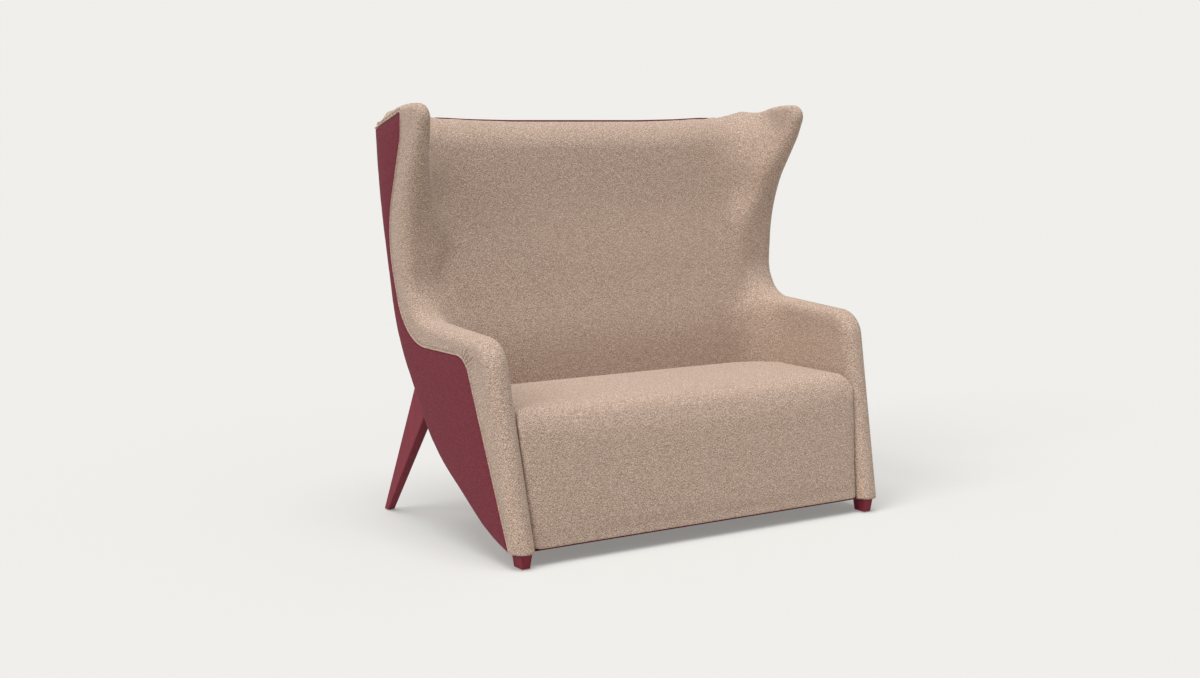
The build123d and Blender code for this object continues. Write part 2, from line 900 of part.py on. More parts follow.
def inside_station(height):
    """The middle of a rail that lies on the shell at a height."""
    point, direction = shell_station(height)
    depth = shell_thickness + rail_thickness / 2
    return (point.X + direction.Y * depth, point.Y - direction.X * depth)


board_middle_inset = board_face_inset + front_board_thickness / 2
rail_screw_places = [
    inside_station(top_rail_height - screw_spread / 2),
    inside_station(top_rail_height + screw_spread / 2),
    inside_station(lumbar_rail_height),
    inside_station(base_rail_height),
    (rear_rail_back - rear_rail_depth * 2 / 3, webbing_height - rear_rail_width / 4),
    (seat_front(webbing_height / 3, board_middle_inset), webbing_height / 3),
    (seat_front(webbing_height * 3 / 4, board_middle_inset), webbing_height * 3 / 4),
]
with BuildPart() as rail_screw:
    add(disc(board_face, rail_screw_places, screw_radius, screw_length))
    add(disc(board_face, rail_screw_places, screw_head_radius, screw_head_height))

# ---------------------------------------------------------------- seat the pieces in each other
frame_pieces = [
    top_rail,
    lumbar_rail,
    lower_back_rail,
    seat_base_rail,
    seat_rear_rail,
    seat_front_board,
    seat_side_rail.part,
    seat_cross_webbing.part,
    back_webbing.part,
    corner_block.part,
    foot_block.part,
    foot_stud.part,
]

with BuildPart() as leg_with_holes:
    add(rear_leg.part)
    cut_with(leg_bolt_clearance.part, rear_glide)

with BuildPart() as board_with_holes:
    add(side_board.part)
    cut_with(leg_bolt.part, tee_nut.part, rail_screw.part)

with BuildPart() as foot_block_with_hole:
    add(foot_block.part)
    cut_with(foot_stud.part)


def pair_of(part):
    """A right-hand piece with its mirror image, for cuts on both sides."""
    return [part, mirror(part, about=Plane.YZ)]


def shell_with_notches(layer):
    """A shell layer, cut out round both legs."""
    with BuildPart() as notched:
        add(layer)
        cut_with(*pair_of(rear_leg.part))
    return notched.part


def rail_with_screws(piece):
    """A rail with the screws' holes in both its ends."""
    with BuildPart() as drilled:
        add(piece)
        cut_with(*pair_of(rail_screw.part))
    return drilled.part


arm_core = roll_body(cover_thickness)
with BuildPart() as wing_arm_foam:
    add(arm_core)
    cut_with(side_panel.part, side_board.part, shell_space.part, rear_leg.part, welt.part)
    cut_with(leg_bolt.part, leg_washer.part, *frame_pieces)

with BuildPart() as wing_arm_cover:
    add(roll_body(0))
    cut_with(arm_core, side_panel.part, shell_space.part, rear_leg.part, welt.part)
    cut_with(*frame_pieces)

with BuildPart() as front_foot_seated:
    add(front_foot.part)
    cut_with(shell_cover, shell_board, foot_stud.part, front_glide, wing_arm_cover.part)
    split(bisect_by=Plane.XY.offset(roll_bottom), keep=Keep.BOTTOM)

back_core = back_body(cover_thickness)
with BuildPart() as back_foam:
    add(back_core)
    cut_with(*back_rails, *back_ribs.values(), back_webbing.part)

with BuildPart() as back_cover:
    add(back_body(0))
    cut_with(back_core)

seat_core = seat_body(cover_thickness)
with BuildPart() as seat_foam:
    add(seat_core)
    with BuildSketch(Plane.YZ):
        add(
            section_between(
                [
                    (seat_front(0, board_face_inset), 0),
                    (far, 0),
                    (far, webbing_top),
                    (seat_front(webbing_top, board_face_inset), webbing_top),
                ]
            )
        )
    extrude(amount=reach, both=True, mode=Mode.SUBTRACT)
    cut_with(*pair_of(foot_block.part))

with BuildPart() as seat_cover:
    add(seat_body(0))
    cut_with(seat_core, seat_front_board, seat_base_rail, seat_rear_rail)
    cut_with(seat_webbing.part, seat_cross_webbing.part)
    cut_with(*pair_of(foot_block.part), *pair_of(corner_block.part), *pair_of(seat_side_rail.part))

# ---------------------------------------------------------------- finished pieces
save_pair(wing_arm_cover.part, "wing_arm_cover")
save_pair(wing_arm_foam.part, "wing_arm_foam")
save_pair(side_panel.part, "side_panel")
save_pair(welt.part, "seam_welt")
save_pair(board_with_holes.part, "side_board")
save_pair(leg_with_holes.part, "rear_leg")
save_pair(front_foot_seated.part, "front_foot")
save_pair(front_glide, "front_glide")
save_pair(rear_glide, "rear_glide")
save_pair(foot_block_with_hole.part, "foot_block")
save_pair(seat_side_rail.part, "seat_side_rail")
save(back_cover.part, "back_cover")
save(back_foam.part, "back_foam")
save(seat_cover.part, "seat_cover")
save(seat_foam.part, "seat_foam")
save(shell_with_notches(shell_cover), "shell_cover")
save(shell_with_notches(shell_board), "shell_board")
save(rail_with_screws(top_rail), "top_rail")
save(rail_with_screws(lumbar_rail), "lumbar_rail")
save(lower_back_rail, "lower_back_rail")
save(rail_with_screws(seat_base_rail), "seat_base_rail")
save(rail_with_screws(seat_rear_rail), "seat_rear_rail")
save(rail_with_screws(seat_front_board), "seat_front_board")
for place, rib in back_ribs.items():
    save(rib, f"back_rib_{place}")
save(seat_webbing.part, "seat_webbing")
save(seat_cross_webbing.part, "seat_cross_webbing")
save(back_webbing.part, "back_webbing")
for fastening, name in (
    (corner_block, "corner_blocks"),
    (leg_bolt, "leg_bolts"),
    (leg_washer, "leg_washers"),
    (tee_nut, "leg_tee_nuts"),
    (foot_stud, "foot_studs"),
    (rail_screw, "rail_screws"),
):
    save(Compound(pair_of(fastening.part)), name)
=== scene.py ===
# %% [markdown]
# # A high back settee
#
# The settee is a beige upholstered shell of back, wings and arms round a wedge seat. Its outer
# sides, its back and its underside are burgundy, and so are the lacquered legs and feet.
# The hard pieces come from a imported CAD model. The lesson makes the upholstery over it and gives
# every piece its finish.

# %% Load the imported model
import json
import math

import bpy
import numpy as np
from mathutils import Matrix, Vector


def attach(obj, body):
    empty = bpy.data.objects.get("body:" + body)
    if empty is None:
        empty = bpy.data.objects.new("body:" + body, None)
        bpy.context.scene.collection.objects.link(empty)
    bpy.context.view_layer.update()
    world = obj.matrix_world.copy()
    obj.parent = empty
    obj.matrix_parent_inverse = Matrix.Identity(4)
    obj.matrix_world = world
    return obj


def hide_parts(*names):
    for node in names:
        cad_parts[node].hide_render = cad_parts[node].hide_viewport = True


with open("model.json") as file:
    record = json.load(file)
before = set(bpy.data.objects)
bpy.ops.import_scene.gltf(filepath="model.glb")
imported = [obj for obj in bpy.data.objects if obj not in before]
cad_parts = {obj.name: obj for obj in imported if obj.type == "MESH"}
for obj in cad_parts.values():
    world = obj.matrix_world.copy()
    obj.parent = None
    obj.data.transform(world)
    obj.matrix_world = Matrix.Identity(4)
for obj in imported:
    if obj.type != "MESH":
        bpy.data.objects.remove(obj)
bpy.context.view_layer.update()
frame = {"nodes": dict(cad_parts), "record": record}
cad_nodes = frame["nodes"]
print("pieces in the frame:", len(cad_nodes))

# %% [markdown]
# ## Camera, floor and light
#
# The picture was taken from the front left, at a standing photographer's height, with a lens a
# little longer than a normal one. The camera stands where that photographer stood.

# %% Camera
CAMERA_PLACE = (-2.9061, -4.3275, 1.25)
CAMERA_DOWN, CAMERA_TURN = 7.539, -32.896
CAMERA_LENS = 49.43
bpy.ops.object.camera_add(
    location=CAMERA_PLACE,
    rotation=(math.radians(90 - CAMERA_DOWN), 0, math.radians(CAMERA_TURN)),
)
camera = bpy.context.object
camera.name = "photo_camera"
camera.data.lens = CAMERA_LENS
bpy.context.scene.camera = camera

# %% [markdown]
# A studio floor that runs on into the backdrop shows no horizon. Here the floor and the world
# have one pale colour for the camera, and the floor still takes the settee's soft shadow.

# %% Small helpers for shader nodes
PAPER = (0.871, 0.862, 0.831)


def add_node(tree, kind, links=None, **settings):
    """A shader node with its settings. In links, a socket is joined and a value is set."""
    node = tree.nodes.new(kind)
    for name, value in settings.items():
        setattr(node, name, value)
    for key, value in (links or {}).items():
        if isinstance(value, bpy.types.NodeSocket):
            tree.links.new(value, node.inputs[key])
        else:
            node.inputs[key].default_value = value
    return node


def do_math(tree, operation, first, second=0.0, third=None, clamp=False):
    """The result of a math node."""
    terms = {0: first, 1: second}
    if third is not None:
        terms[2] = third
    node = add_node(tree, "ShaderNodeMath", terms, operation=operation, use_clamp=clamp)
    return node.outputs[0]


def seen_share(tree):
    """1 for rays that end in the picture and 0 for rays that only carry light."""
    rays = add_node(tree, "ShaderNodeLightPath")
    seen = do_math(tree, "MAXIMUM", rays.outputs["Is Camera Ray"], rays.outputs["Is Glossy Ray"])
    return do_math(tree, "MAXIMUM", seen, rays.outputs["Is Transmission Ray"])


def new_material(name):
    """An empty node material and its tree, with only the output in it."""
    material = bpy.data.materials.new(name)
    material.use_nodes = True
    tree = material.node_tree
    for node in list(tree.nodes):
        if node.type != "OUTPUT_MATERIAL":
            tree.nodes.remove(node)
    return material, tree


def put_surface(tree, sockets):
    """One Principled shader with these sockets as the material's surface."""
    shader = add_node(tree, "ShaderNodeBsdfPrincipled", sockets)
    tree.links.new(shader.outputs[0], tree.nodes["Material Output"].inputs["Surface"])


def colour(red, green, blue):
    """A colour given as on a screen, 0 to 255, as the linear colour that a shader takes."""
    linear = []
    for part in (red, green, blue):
        share = part / 255
        linear.append(share / 12.92 if share <= 0.04045 else ((share + 0.055) / 1.055) ** 2.4)
    return (*linear, 1.0)


# %% World and lamps
# Each lamp has the way that it shines, its strength and its width in degrees.
SKY_LIGHT = 0.35
LAMPS = {
    "overhead_lamp": ((0.12, 0.16, -1.0), 2.75, 45),
    "left_lamp": ((1.0, 0.22, -0.80), 1.35, 30),
}
world = bpy.data.worlds.new("studio")
bpy.context.scene.world = world
world.use_nodes = True
tree = world.node_tree
tree.nodes.clear()
soft = add_node(tree, "ShaderNodeBackground", {"Color": (1, 1, 1, 1), "Strength": SKY_LIGHT})
backdrop = add_node(tree, "ShaderNodeBackground", {"Color": (*PAPER, 1), "Strength": 1.0})
choice = add_node(
    tree,
    "ShaderNodeMixShader",
    {0: seen_share(tree), 1: soft.outputs[0], 2: backdrop.outputs[0]},
)
add_node(tree, "ShaderNodeOutputWorld", {"Surface": choice.outputs[0]})

for name, (towards, strength, spread) in LAMPS.items():
    turn = Vector(towards).to_track_quat("-Z", "Y").to_euler()
    bpy.ops.object.light_add(type="SUN", rotation=turn)
    lamp = bpy.context.object
    lamp.name = name
    lamp.data.energy = strength
    lamp.data.angle = math.radians(spread)
bpy.context.scene.view_settings.view_transform = "Standard"

# %% Floor
FLOOR_RADIUS, FLOOR_GLOW = 14, 0.25
light_on_floor = SKY_LIGHT
for towards, strength, spread in LAMPS.values():
    light_on_floor -= strength * Vector(towards).normalized().z / math.pi
print("light on the open floor:", round(light_on_floor, 3))

bpy.ops.mesh.primitive_circle_add(vertices=96, radius=FLOOR_RADIUS, fill_type="NGON")
floor = bpy.context.object
floor.name = "studio_floor"
paper, tree = new_material("paper_floor")
floor_colour = [part / light_on_floor for part in PAPER]
lit = add_node(tree, "ShaderNodeBsdfDiffuse", {"Color": (*floor_colour, 1)})
glow = add_node(tree, "ShaderNodeEmission", {"Color": (*PAPER, 1), "Strength": 1.0})
share = do_math(tree, "MULTIPLY", seen_share(tree), FLOOR_GLOW)
blend = add_node(
    tree, "ShaderNodeMixShader", {0: share, 1: lit.outputs[0], 2: glow.outputs[0]}
)
tree.links.new(blend.outputs[0], tree.nodes["Material Output"].inputs["Surface"])
floor.data.materials.append(paper)

# %% [markdown]
# ## The side's outlines
#
# Both sides lean outward by a little over two degrees. A place on a side is given by how deep it
# lies under the outer face, how far back it is, and how far up the leaning face.

# %% Places on a leaning side
HALF_WIDTH = 0.675
LEAN = math.radians(2.29)
NOSE_RADIUS = 0.035


def on_side(hand, depth, back, up):
    """The point on the right (1) or left (-1) side at a depth, a distance back and up."""
    out = HALF_WIDTH - depth * math.cos(LEAN) + up * math.sin(LEAN)
    return Vector((hand * out, back, depth * math.sin(LEAN) + up * math.cos(LEAN)))


def side_places(points):
    """Depth and height up the side of many points at once, given as an array."""
    out = np.abs(points[:, 0]) - HALF_WIDTH
    depth = -out * math.cos(LEAN) + points[:, 2] * math.sin(LEAN)
    up = out * math.sin(LEAN) + points[:, 2] * math.cos(LEAN)
    return depth, up


def rounded_path(corners, radii, step=0.004):
    """Points along straight runs whose inner corners are rounded, a step or less apart."""
    bends = [Vector(corners[0])]
    for before, corner, after, radius in zip(corners, corners[1:], corners[2:], radii):
        corner = Vector(corner)
        back = (Vector(before) - corner).normalized()
        ahead = (Vector(after) - corner).normalized()
        half = back.angle(ahead) / 2
        centre = corner + (back + ahead).normalized() * radius / math.sin(half)
        start = corner + back * radius / math.tan(half) - centre
        end = corner + ahead * radius / math.tan(half) - centre
        turn = start.angle(end)
        count = max(2, math.ceil(turn * radius / step))
        for i in range(count + 1):
            share = i / count
            arc = start * math.sin((1 - share) * turn) + end * math.sin(share * turn)
            bends.append(centre + arc / math.sin(turn))
    bends.append(Vector(corners[-1]))
    path = [bends[0]]
    for a, b in zip(bends, bends[1:]):
        count = max(1, math.ceil((b - a).length / step))
        path += [a.lerp(b, i / count) for i in range(1, count + 1)]
    return path


SEAM = rounded_path(
    [
        (-0.417, 0.0335),
        (-0.202, 0.582),
        (0.179, 0.580),
        (0.269, 0.908),
        (0.140, 1.205),
        (0.132, 1.283),
        (0.380, 1.209),
    ],
    [0.071, 0.175, 0.364, 0.040, 0.009],
)
FRONT = rounded_path(
    [
        (-0.490, -0.124),
        (-0.329, 0.637),
        (0.152, 0.663),
        (0.146, 0.985),
        (0.031, 1.193),
        (-0.009, 1.301),
        (0.149, 1.305),
        (0.420, 1.209),
    ],
    [0.093, 0.128, 0.490, 0.120, 0.041, 0.480],
    step=0.006,
)
REAR = rounded_path(
    [
        (0.311, 1.320),
        (0.316, 1.063),
        (0.239, 0.599),
        (0.027, 0.279),
        (-0.291, 0.080),
        (-0.483, 0.024),
    ],
    [1.750, 0.541, 0.486, 0.510],
    step=0.006,
)
print("points along seam, front and rear:", len(SEAM), len(FRONT), len(REAR))

# %% [markdown]
# ## Helpers for upholstery
#
# Each upholstered block starts as a copy of the CAD solids in its place. A voxel remesh fuses
# them into one skin of even squares, which then can be smoothed, pushed and puffed like cloth.


# %% Copy, fuse and shape
def deselect_all():
    """Nothing selected, and the next piece can be made active."""
    if bpy.context.object and bpy.context.object.mode != "OBJECT":
        bpy.ops.object.mode_set(mode="OBJECT")
    bpy.ops.object.select_all(action="DESELECT")


def make_active(piece):
    """Only this piece is selected and active."""
    deselect_all()
    piece.select_set(True)
    bpy.context.view_layer.objects.active = piece


def copy_of_nodes(names, new_name):
    """One new mesh that starts as a copy of some CAD nodes, its loose corners merged."""
    copies = []
    for name in names:
        twin = bpy.data.objects.new(f"{new_name}_start", cad_nodes[name].data.copy())
        bpy.context.scene.collection.objects.link(twin)
        twin.data.materials.clear()
        make_active(twin)
        bpy.ops.mesh.customdata_custom_splitnormals_clear()
        copies.append(twin)
    deselect_all()
    for twin in copies:
        twin.select_set(True)
    bpy.context.view_layer.objects.active = copies[0]
    if len(copies) > 1:
        bpy.ops.object.join()
    piece = bpy.context.view_layer.objects.active
    piece.name = new_name
    bpy.ops.object.mode_set(mode="EDIT")
    bpy.ops.mesh.select_all(action="SELECT")
    bpy.ops.mesh.remove_doubles(threshold=0.00002)
    bpy.ops.object.mode_set(mode="OBJECT")
    return piece


def keep_largest_part(piece):
    """Drop the skins of hollows inside, which a remesh leaves as loose parts."""
    make_active(piece)
    name = piece.name
    bpy.ops.mesh.separate(type="LOOSE")
    parts = sorted(bpy.context.selected_objects, key=lambda part: len(part.data.vertices))
    for part in parts[:-1]:
        bpy.data.objects.remove(part)
    parts[-1].name = name
    make_active(parts[-1])
    return parts[-1]


def fuse(piece, voxel):
    """One closed skin of even squares round everything in the piece."""
    make_active(piece)
    piece.data.remesh_voxel_size = voxel
    piece.data.use_remesh_preserve_attributes = False
    bpy.ops.object.voxel_remesh()
    piece = keep_largest_part(piece)
    print(piece.name, "fused into", len(piece.data.polygons), "faces")
    return piece


def points_of(piece):
    """The corners of a mesh as an array."""
    flat = np.empty(len(piece.data.vertices) * 3)
    piece.data.vertices.foreach_get("co", flat)
    return flat.reshape(-1, 3)


def move_points(piece, points):
    """Write an array of corners back to the mesh."""
    piece.data.vertices.foreach_set("co", points.ravel())
    piece.data.update()


def normals_of(piece):
    """The outward normals of a mesh's corners as an array."""
    flat = np.empty(len(piece.data.vertices) * 3, np.float32)
    piece.data.vertex_normals.foreach_get("vector", flat)
    return flat.reshape(-1, 3).astype(float)


def ramp(values, low, high):
    """0 below low, 1 above high and a smooth step between, also where low is the larger."""
    share = np.clip((values - low) / (high - low), 0, 1)
    return share * share * (3 - 2 * share)


def weight_group(piece, weights, steps):
    """A vertex group of the piece, with each corner's weight rounded to one of some steps."""
    group = piece.vertex_groups.new(name="weights")
    rounded = np.round(weights * steps).astype(int)
    for step in range(1, steps + 1):
        chosen = np.nonzero(rounded == step)[0].tolist()
        if chosen:
            group.add(chosen, step / steps, "REPLACE")
    return group.name


def apply_modifier(piece, kind, **settings):
    """Add a modifier with its settings to the piece and apply it."""
    make_active(piece)
    modifier = piece.modifiers.new(kind.lower(), kind)
    for name, value in settings.items():
        setattr(modifier, name, value)
    bpy.ops.object.modifier_apply(modifier=modifier.name)


def smooth(piece, rounds, weights=None):
    """Even the skin out, by each corner's weight."""
    settings = {"factor": 0.5, "iterations": rounds}
    if weights is not None:
        settings["vertex_group"] = weight_group(piece, weights, 20)
    apply_modifier(piece, "SMOOTH", **settings)
    piece.vertex_groups.clear()


def finish_piece(piece, material, replaced=()):
    """Smooth shading and finish, hang the piece under the root body and hide the CAD nodes it
    stands for.
    """
    piece.data.polygons.foreach_set("use_smooth", [True] * len(piece.data.polygons))
    piece.data.materials.clear()
    piece.data.materials.append(material)
    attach(piece, "root")
    if replaced:
        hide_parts(*replaced)
    print(piece.name, len(piece.data.polygons), "faces")


# %% [markdown]
# ## Cloth finishes
#
# The beige cloth is a melange: warp and weft are spun from light and dark fibres, so the colour
# changes from thread to thread. The weave lies along the main directions of each surface. It is
# drawn flat from three sides and blended by which way the surface faces.


# %% The weave as a shader group
def new_group(name, inputs, outputs):
    """A shader group with named sockets, given as name, kind and default."""
    group = bpy.data.node_groups.new(name, "ShaderNodeTree")
    for label, kind, default in inputs:
        socket = group.interface.new_socket(label, in_out="INPUT", socket_type=kind)
        if default is not None:
            socket.default_value = default
    for label, kind in outputs:
        group.interface.new_socket(label, in_out="OUTPUT", socket_type=kind)
    entry = group.nodes.new("NodeGroupInput")
    result = group.nodes.new("NodeGroupOutput")
    return group, entry, result


FLOAT, VECTOR, COLOUR = "NodeSocketFloat", "NodeSocketVector", "NodeSocketColor"
NOISE_SHIFT = 7.3
COARSE_WIDTH, COARSE_SHARE = 1.6, 0.4
SIDE_POWER = 6.0
MEAN_TONE, TONE_GAIN = 0.70, 2.4
flat_weave, entry, result = new_group(
    "flat_weave",
    [("Vector", VECTOR, None), ("Thread", FLOAT, 0.0011), ("Slub", FLOAT, 2.6)],
    [("Tone", FLOAT), ("Height", FLOAT)],
)
per_metre = do_math(flat_weave, "DIVIDE", 1.0, entry.outputs["Thread"])
long_way = do_math(flat_weave, "DIVIDE", per_metre, entry.outputs["Slub"])
place = add_node(flat_weave, "ShaderNodeSeparateXYZ", {0: entry.outputs["Vector"]})
tones = []
for across, along in (("X", "Y"), ("Y", "X")):
    wide = do_math(flat_weave, "MULTIPLY", place.outputs[across], per_metre)
    far = do_math(flat_weave, "MULTIPLY", place.outputs[along], long_way)
    spot = add_node(
        flat_weave, "ShaderNodeCombineXYZ", {0: wide, 1: far, 2: len(tones) * NOISE_SHIFT}
    )
    fine = add_node(
        flat_weave,
        "ShaderNodeTexNoise",
        {"Vector": spot.outputs[0], "Scale": 1.0, "Detail": 1.0, "Roughness": 0.5},
    )
    tones.append(fine.outputs["Fac"])
turn = do_math(flat_weave, "MULTIPLY", per_metre, math.pi)
waves = [
    do_math(flat_weave, "SINE", do_math(flat_weave, "MULTIPLY", place.outputs[axis], turn))
    for axis in ("X", "Y")
]
over = do_math(flat_weave, "MULTIPLY", waves[0], waves[1])
over = do_math(flat_weave, "MULTIPLY_ADD", over, 0.5, 0.5)
even = do_math(flat_weave, "MULTIPLY_ADD", over, 0.5, 0.25)
mixed = add_node(flat_weave, "ShaderNodeMix", {0: even, 2: tones[0], 3: tones[1]})
flat_weave.links.new(mixed.outputs[0], result.inputs["Tone"])
knots = do_math(flat_weave, "ABSOLUTE", do_math(flat_weave, "SUBTRACT", over, 0.5))
height = do_math(flat_weave, "MULTIPLY_ADD", knots, 0.5, mixed.outputs[0])
flat_weave.links.new(height, result.inputs["Height"])

woven_cloth, entry, result = new_group(
    "woven_cloth",
    [
        ("Ground", COLOUR, (0.4, 0.3, 0.25, 1)),
        ("Dark", COLOUR, (0.2, 0.15, 0.12, 1)),
        ("Light", COLOUR, (0.7, 0.6, 0.5, 1)),
        ("Thread", FLOAT, 0.0011),
        ("Contrast", FLOAT, 1.0),
        ("Mottle", FLOAT, 0.03),
    ],
    [("Color", COLOUR), ("Height", FLOAT), ("Roughness", FLOAT)],
)
where = add_node(woven_cloth, "ShaderNodeTexCoord")
facing = add_node(woven_cloth, "ShaderNodeNewGeometry")
turned = add_node(
    woven_cloth, "ShaderNodeVectorMath", {0: facing.outputs["Normal"]}, operation="ABSOLUTE"
)
sides = add_node(woven_cloth, "ShaderNodeSeparateXYZ", {0: turned.outputs[0]})
spots = add_node(woven_cloth, "ShaderNodeSeparateXYZ", {0: where.outputs["Object"]})
tone_sum, height_sum, weight_sum = 0.0, 0.0, 0.0
for face, across, up in (("X", "Y", "Z"), ("Y", "X", "Z"), ("Z", "X", "Y")):
    flat = add_node(
        woven_cloth, "ShaderNodeCombineXYZ", {0: spots.outputs[across], 1: spots.outputs[up]}
    )
    wide = do_math(woven_cloth, "MULTIPLY", entry.outputs["Thread"], COARSE_WIDTH)
    plane, coarse = [
        add_node(woven_cloth, "ShaderNodeGroup", {}, node_tree=flat_weave) for _ in range(2)
    ]
    for weave, thread in ((plane, entry.outputs["Thread"]), (coarse, wide)):
        woven_cloth.links.new(flat.outputs[0], weave.inputs["Vector"])
        woven_cloth.links.new(thread, weave.inputs["Thread"])
    both = do_math(
        woven_cloth, "MULTIPLY_ADD", coarse.outputs["Tone"], COARSE_SHARE, plane.outputs["Tone"]
    )
    share = do_math(woven_cloth, "POWER", sides.outputs[face], SIDE_POWER)
    tone_sum = do_math(woven_cloth, "MULTIPLY_ADD", both, share, tone_sum)
    height_sum = do_math(woven_cloth, "MULTIPLY_ADD", plane.outputs["Height"], share, height_sum)
    weight_sum = do_math(woven_cloth, "ADD", share, weight_sum)
tone = do_math(woven_cloth, "DIVIDE", tone_sum, weight_sum)
tone = do_math(woven_cloth, "SUBTRACT", tone, MEAN_TONE)
tone = do_math(woven_cloth, "MULTIPLY", tone, entry.outputs["Contrast"])
patches = add_node(
    woven_cloth,
    "ShaderNodeTexNoise",
    {"Vector": where.outputs["Object"], "Scale": 9.0, "Detail": 3.0},
)
patch = do_math(woven_cloth, "SUBTRACT", patches.outputs["Fac"], 0.5)
tone = do_math(woven_cloth, "MULTIPLY_ADD", patch, entry.outputs["Mottle"], tone)
darker = do_math(woven_cloth, "MULTIPLY", tone, -TONE_GAIN, clamp=True)
lighter = do_math(woven_cloth, "MULTIPLY", tone, TONE_GAIN, clamp=True)
shade = add_node(
    woven_cloth,
    "ShaderNodeMix",
    {0: darker, 6: entry.outputs["Ground"], 7: entry.outputs["Dark"]},
    data_type="RGBA",
)
shade = add_node(
    woven_cloth,
    "ShaderNodeMix",
    {0: lighter, 6: shade.outputs[2], 7: entry.outputs["Light"]},
    data_type="RGBA",
)
woven_cloth.links.new(shade.outputs[2], result.inputs["Color"])
level = do_math(woven_cloth, "DIVIDE", height_sum, weight_sum)
woven_cloth.links.new(level, result.inputs["Height"])
rough = do_math(woven_cloth, "MULTIPLY_ADD", tone, 0.3, 0.88)
woven_cloth.links.new(rough, result.inputs["Roughness"])


# %% Cloth materials
def cloth_material(name, ground, dark, light, thread, contrast, bump, sheen):
    """A cloth finish made of the weave group and one Principled shader."""
    material, tree = new_material(name)
    weave = add_node(tree, "ShaderNodeGroup", {}, node_tree=woven_cloth)
    for label, value in (
        ("Ground", colour(*ground)),
        ("Dark", colour(*dark)),
        ("Light", colour(*light)),
        ("Thread", thread),
        ("Contrast", contrast),
    ):
        weave.inputs[label].default_value = value
    raised = add_node(
        tree,
        "ShaderNodeBump",
        {"Height": weave.outputs["Height"], "Distance": bump, "Strength": 0.6},
    )
    put_surface(
        tree,
        {
            "Base Color": weave.outputs["Color"],
            "Roughness": weave.outputs["Roughness"],
            "Normal": raised.outputs["Normal"],
            "Sheen Weight": sheen,
            "Sheen Roughness": 0.5,
            "Specular IOR Level": 0.15,
        },
    )
    return material


beige_cloth = cloth_material(
    "beige_melange", (167, 143, 127), (125, 100, 84), (210, 191, 175), 0.0013, 4.0, 0.0003, 0.12
)
burgundy_cloth = cloth_material(
    "burgundy_melange", (108, 37, 48), (82, 23, 33), (134, 59, 71), 0.0014, 3.2, 0.0003, 0.06
)

# %% [markdown]
# ## Finishes of the hard pieces
#
# The legs and feet are beech under a satin lacquer in the burgundy of the cloth. The lacquer
# lets a little of the grain through. The pieces that nobody sees have plain finishes of
# plywood, beech, foam, webbing, zinc and nylon.

# %% Grain as a shader group
wood_grain, entry, result = new_group(
    "wood_grain",
    [
        ("Early", COLOUR, (0.5, 0.3, 0.2, 1)),
        ("Late", COLOUR, (0.3, 0.2, 0.1, 1)),
        ("Rings", FLOAT, 60.0),
    ],
    [("Color", COLOUR), ("Height", FLOAT), ("Roughness", FLOAT)],
)
where = add_node(wood_grain, "ShaderNodeTexCoord")
stretched = add_node(
    wood_grain, "ShaderNodeMapping", {"Vector": where.outputs["Object"], "Scale": (1, 1, 0.12)}
)
warped = add_node(
    wood_grain,
    "ShaderNodeTexNoise",
    {"Vector": stretched.outputs[0], "Scale": entry.outputs["Rings"], "Detail": 6.0},
)
pores = add_node(
    wood_grain,
    "ShaderNodeTexNoise",
    {"Vector": stretched.outputs[0], "Scale": 900.0, "Detail": 2.0},
)
bands = do_math(wood_grain, "MULTIPLY", warped.outputs["Fac"], 9.0)
bands = do_math(wood_grain, "PINGPONG", bands, 1.0)
grain = add_node(
    wood_grain,
    "ShaderNodeMix",
    {0: bands, 6: entry.outputs["Early"], 7: entry.outputs["Late"]},
    data_type="RGBA",
)
wood_grain.links.new(grain.outputs[2], result.inputs["Color"])
height = do_math(wood_grain, "MULTIPLY_ADD", bands, 0.4, pores.outputs["Fac"])
wood_grain.links.new(height, result.inputs["Height"])
rough = do_math(wood_grain, "MULTIPLY_ADD", pores.outputs["Fac"], 0.15, 0.30)
wood_grain.links.new(rough, result.inputs["Roughness"])


# %% Wood, foam, webbing, metal and nylon
def wood_material(name, early, late, rings, bump, rough_share, coat=0.0):
    """A wood finish: the grain group and one Principled shader."""
    material, tree = new_material(name)
    wood = add_node(tree, "ShaderNodeGroup", {}, node_tree=wood_grain)
    wood.inputs["Early"].default_value = colour(*early)
    wood.inputs["Late"].default_value = colour(*late)
    wood.inputs["Rings"].default_value = rings
    raised = add_node(
        tree, "ShaderNodeBump", {"Height": wood.outputs["Height"], "Distance": bump}
    )
    rough = do_math(tree, "MULTIPLY", wood.outputs["Roughness"], rough_share)
    put_surface(
        tree,
        {
            "Base Color": wood.outputs["Color"],
            "Roughness": rough,
            "Normal": raised.outputs["Normal"],
            "Coat Weight": coat,
            "Specular IOR Level": 0.30,
            "Coat Roughness": 0.25,
        },
    )
    return material


def speckled_material(name, base, other, scale, roughness, bump, metallic=0.0):
    """A finish with fine speckles, for foam, webbing, nylon and plated steel."""
    material, tree = new_material(name)
    where = add_node(tree, "ShaderNodeTexCoord")
    specks = add_node(
        tree,
        "ShaderNodeTexNoise",
        {"Vector": where.outputs["Object"], "Scale": scale, "Detail": 3.0},
    )
    mixed = add_node(
        tree,
        "ShaderNodeMix",
        {0: specks.outputs["Fac"], 6: colour(*base), 7: colour(*other)},
        data_type="RGBA",
    )
    raised = add_node(
        tree, "ShaderNodeBump", {"Height": specks.outputs["Fac"], "Distance": bump}
    )
    rough = do_math(tree, "MULTIPLY_ADD", specks.outputs["Fac"], 0.2, roughness - 0.1)
    put_surface(
        tree,
        {
            "Base Color": mixed.outputs[2],
            "Roughness": rough,
            "Metallic": metallic,
            "Normal": raised.outputs["Normal"],
        },
    )
    return material


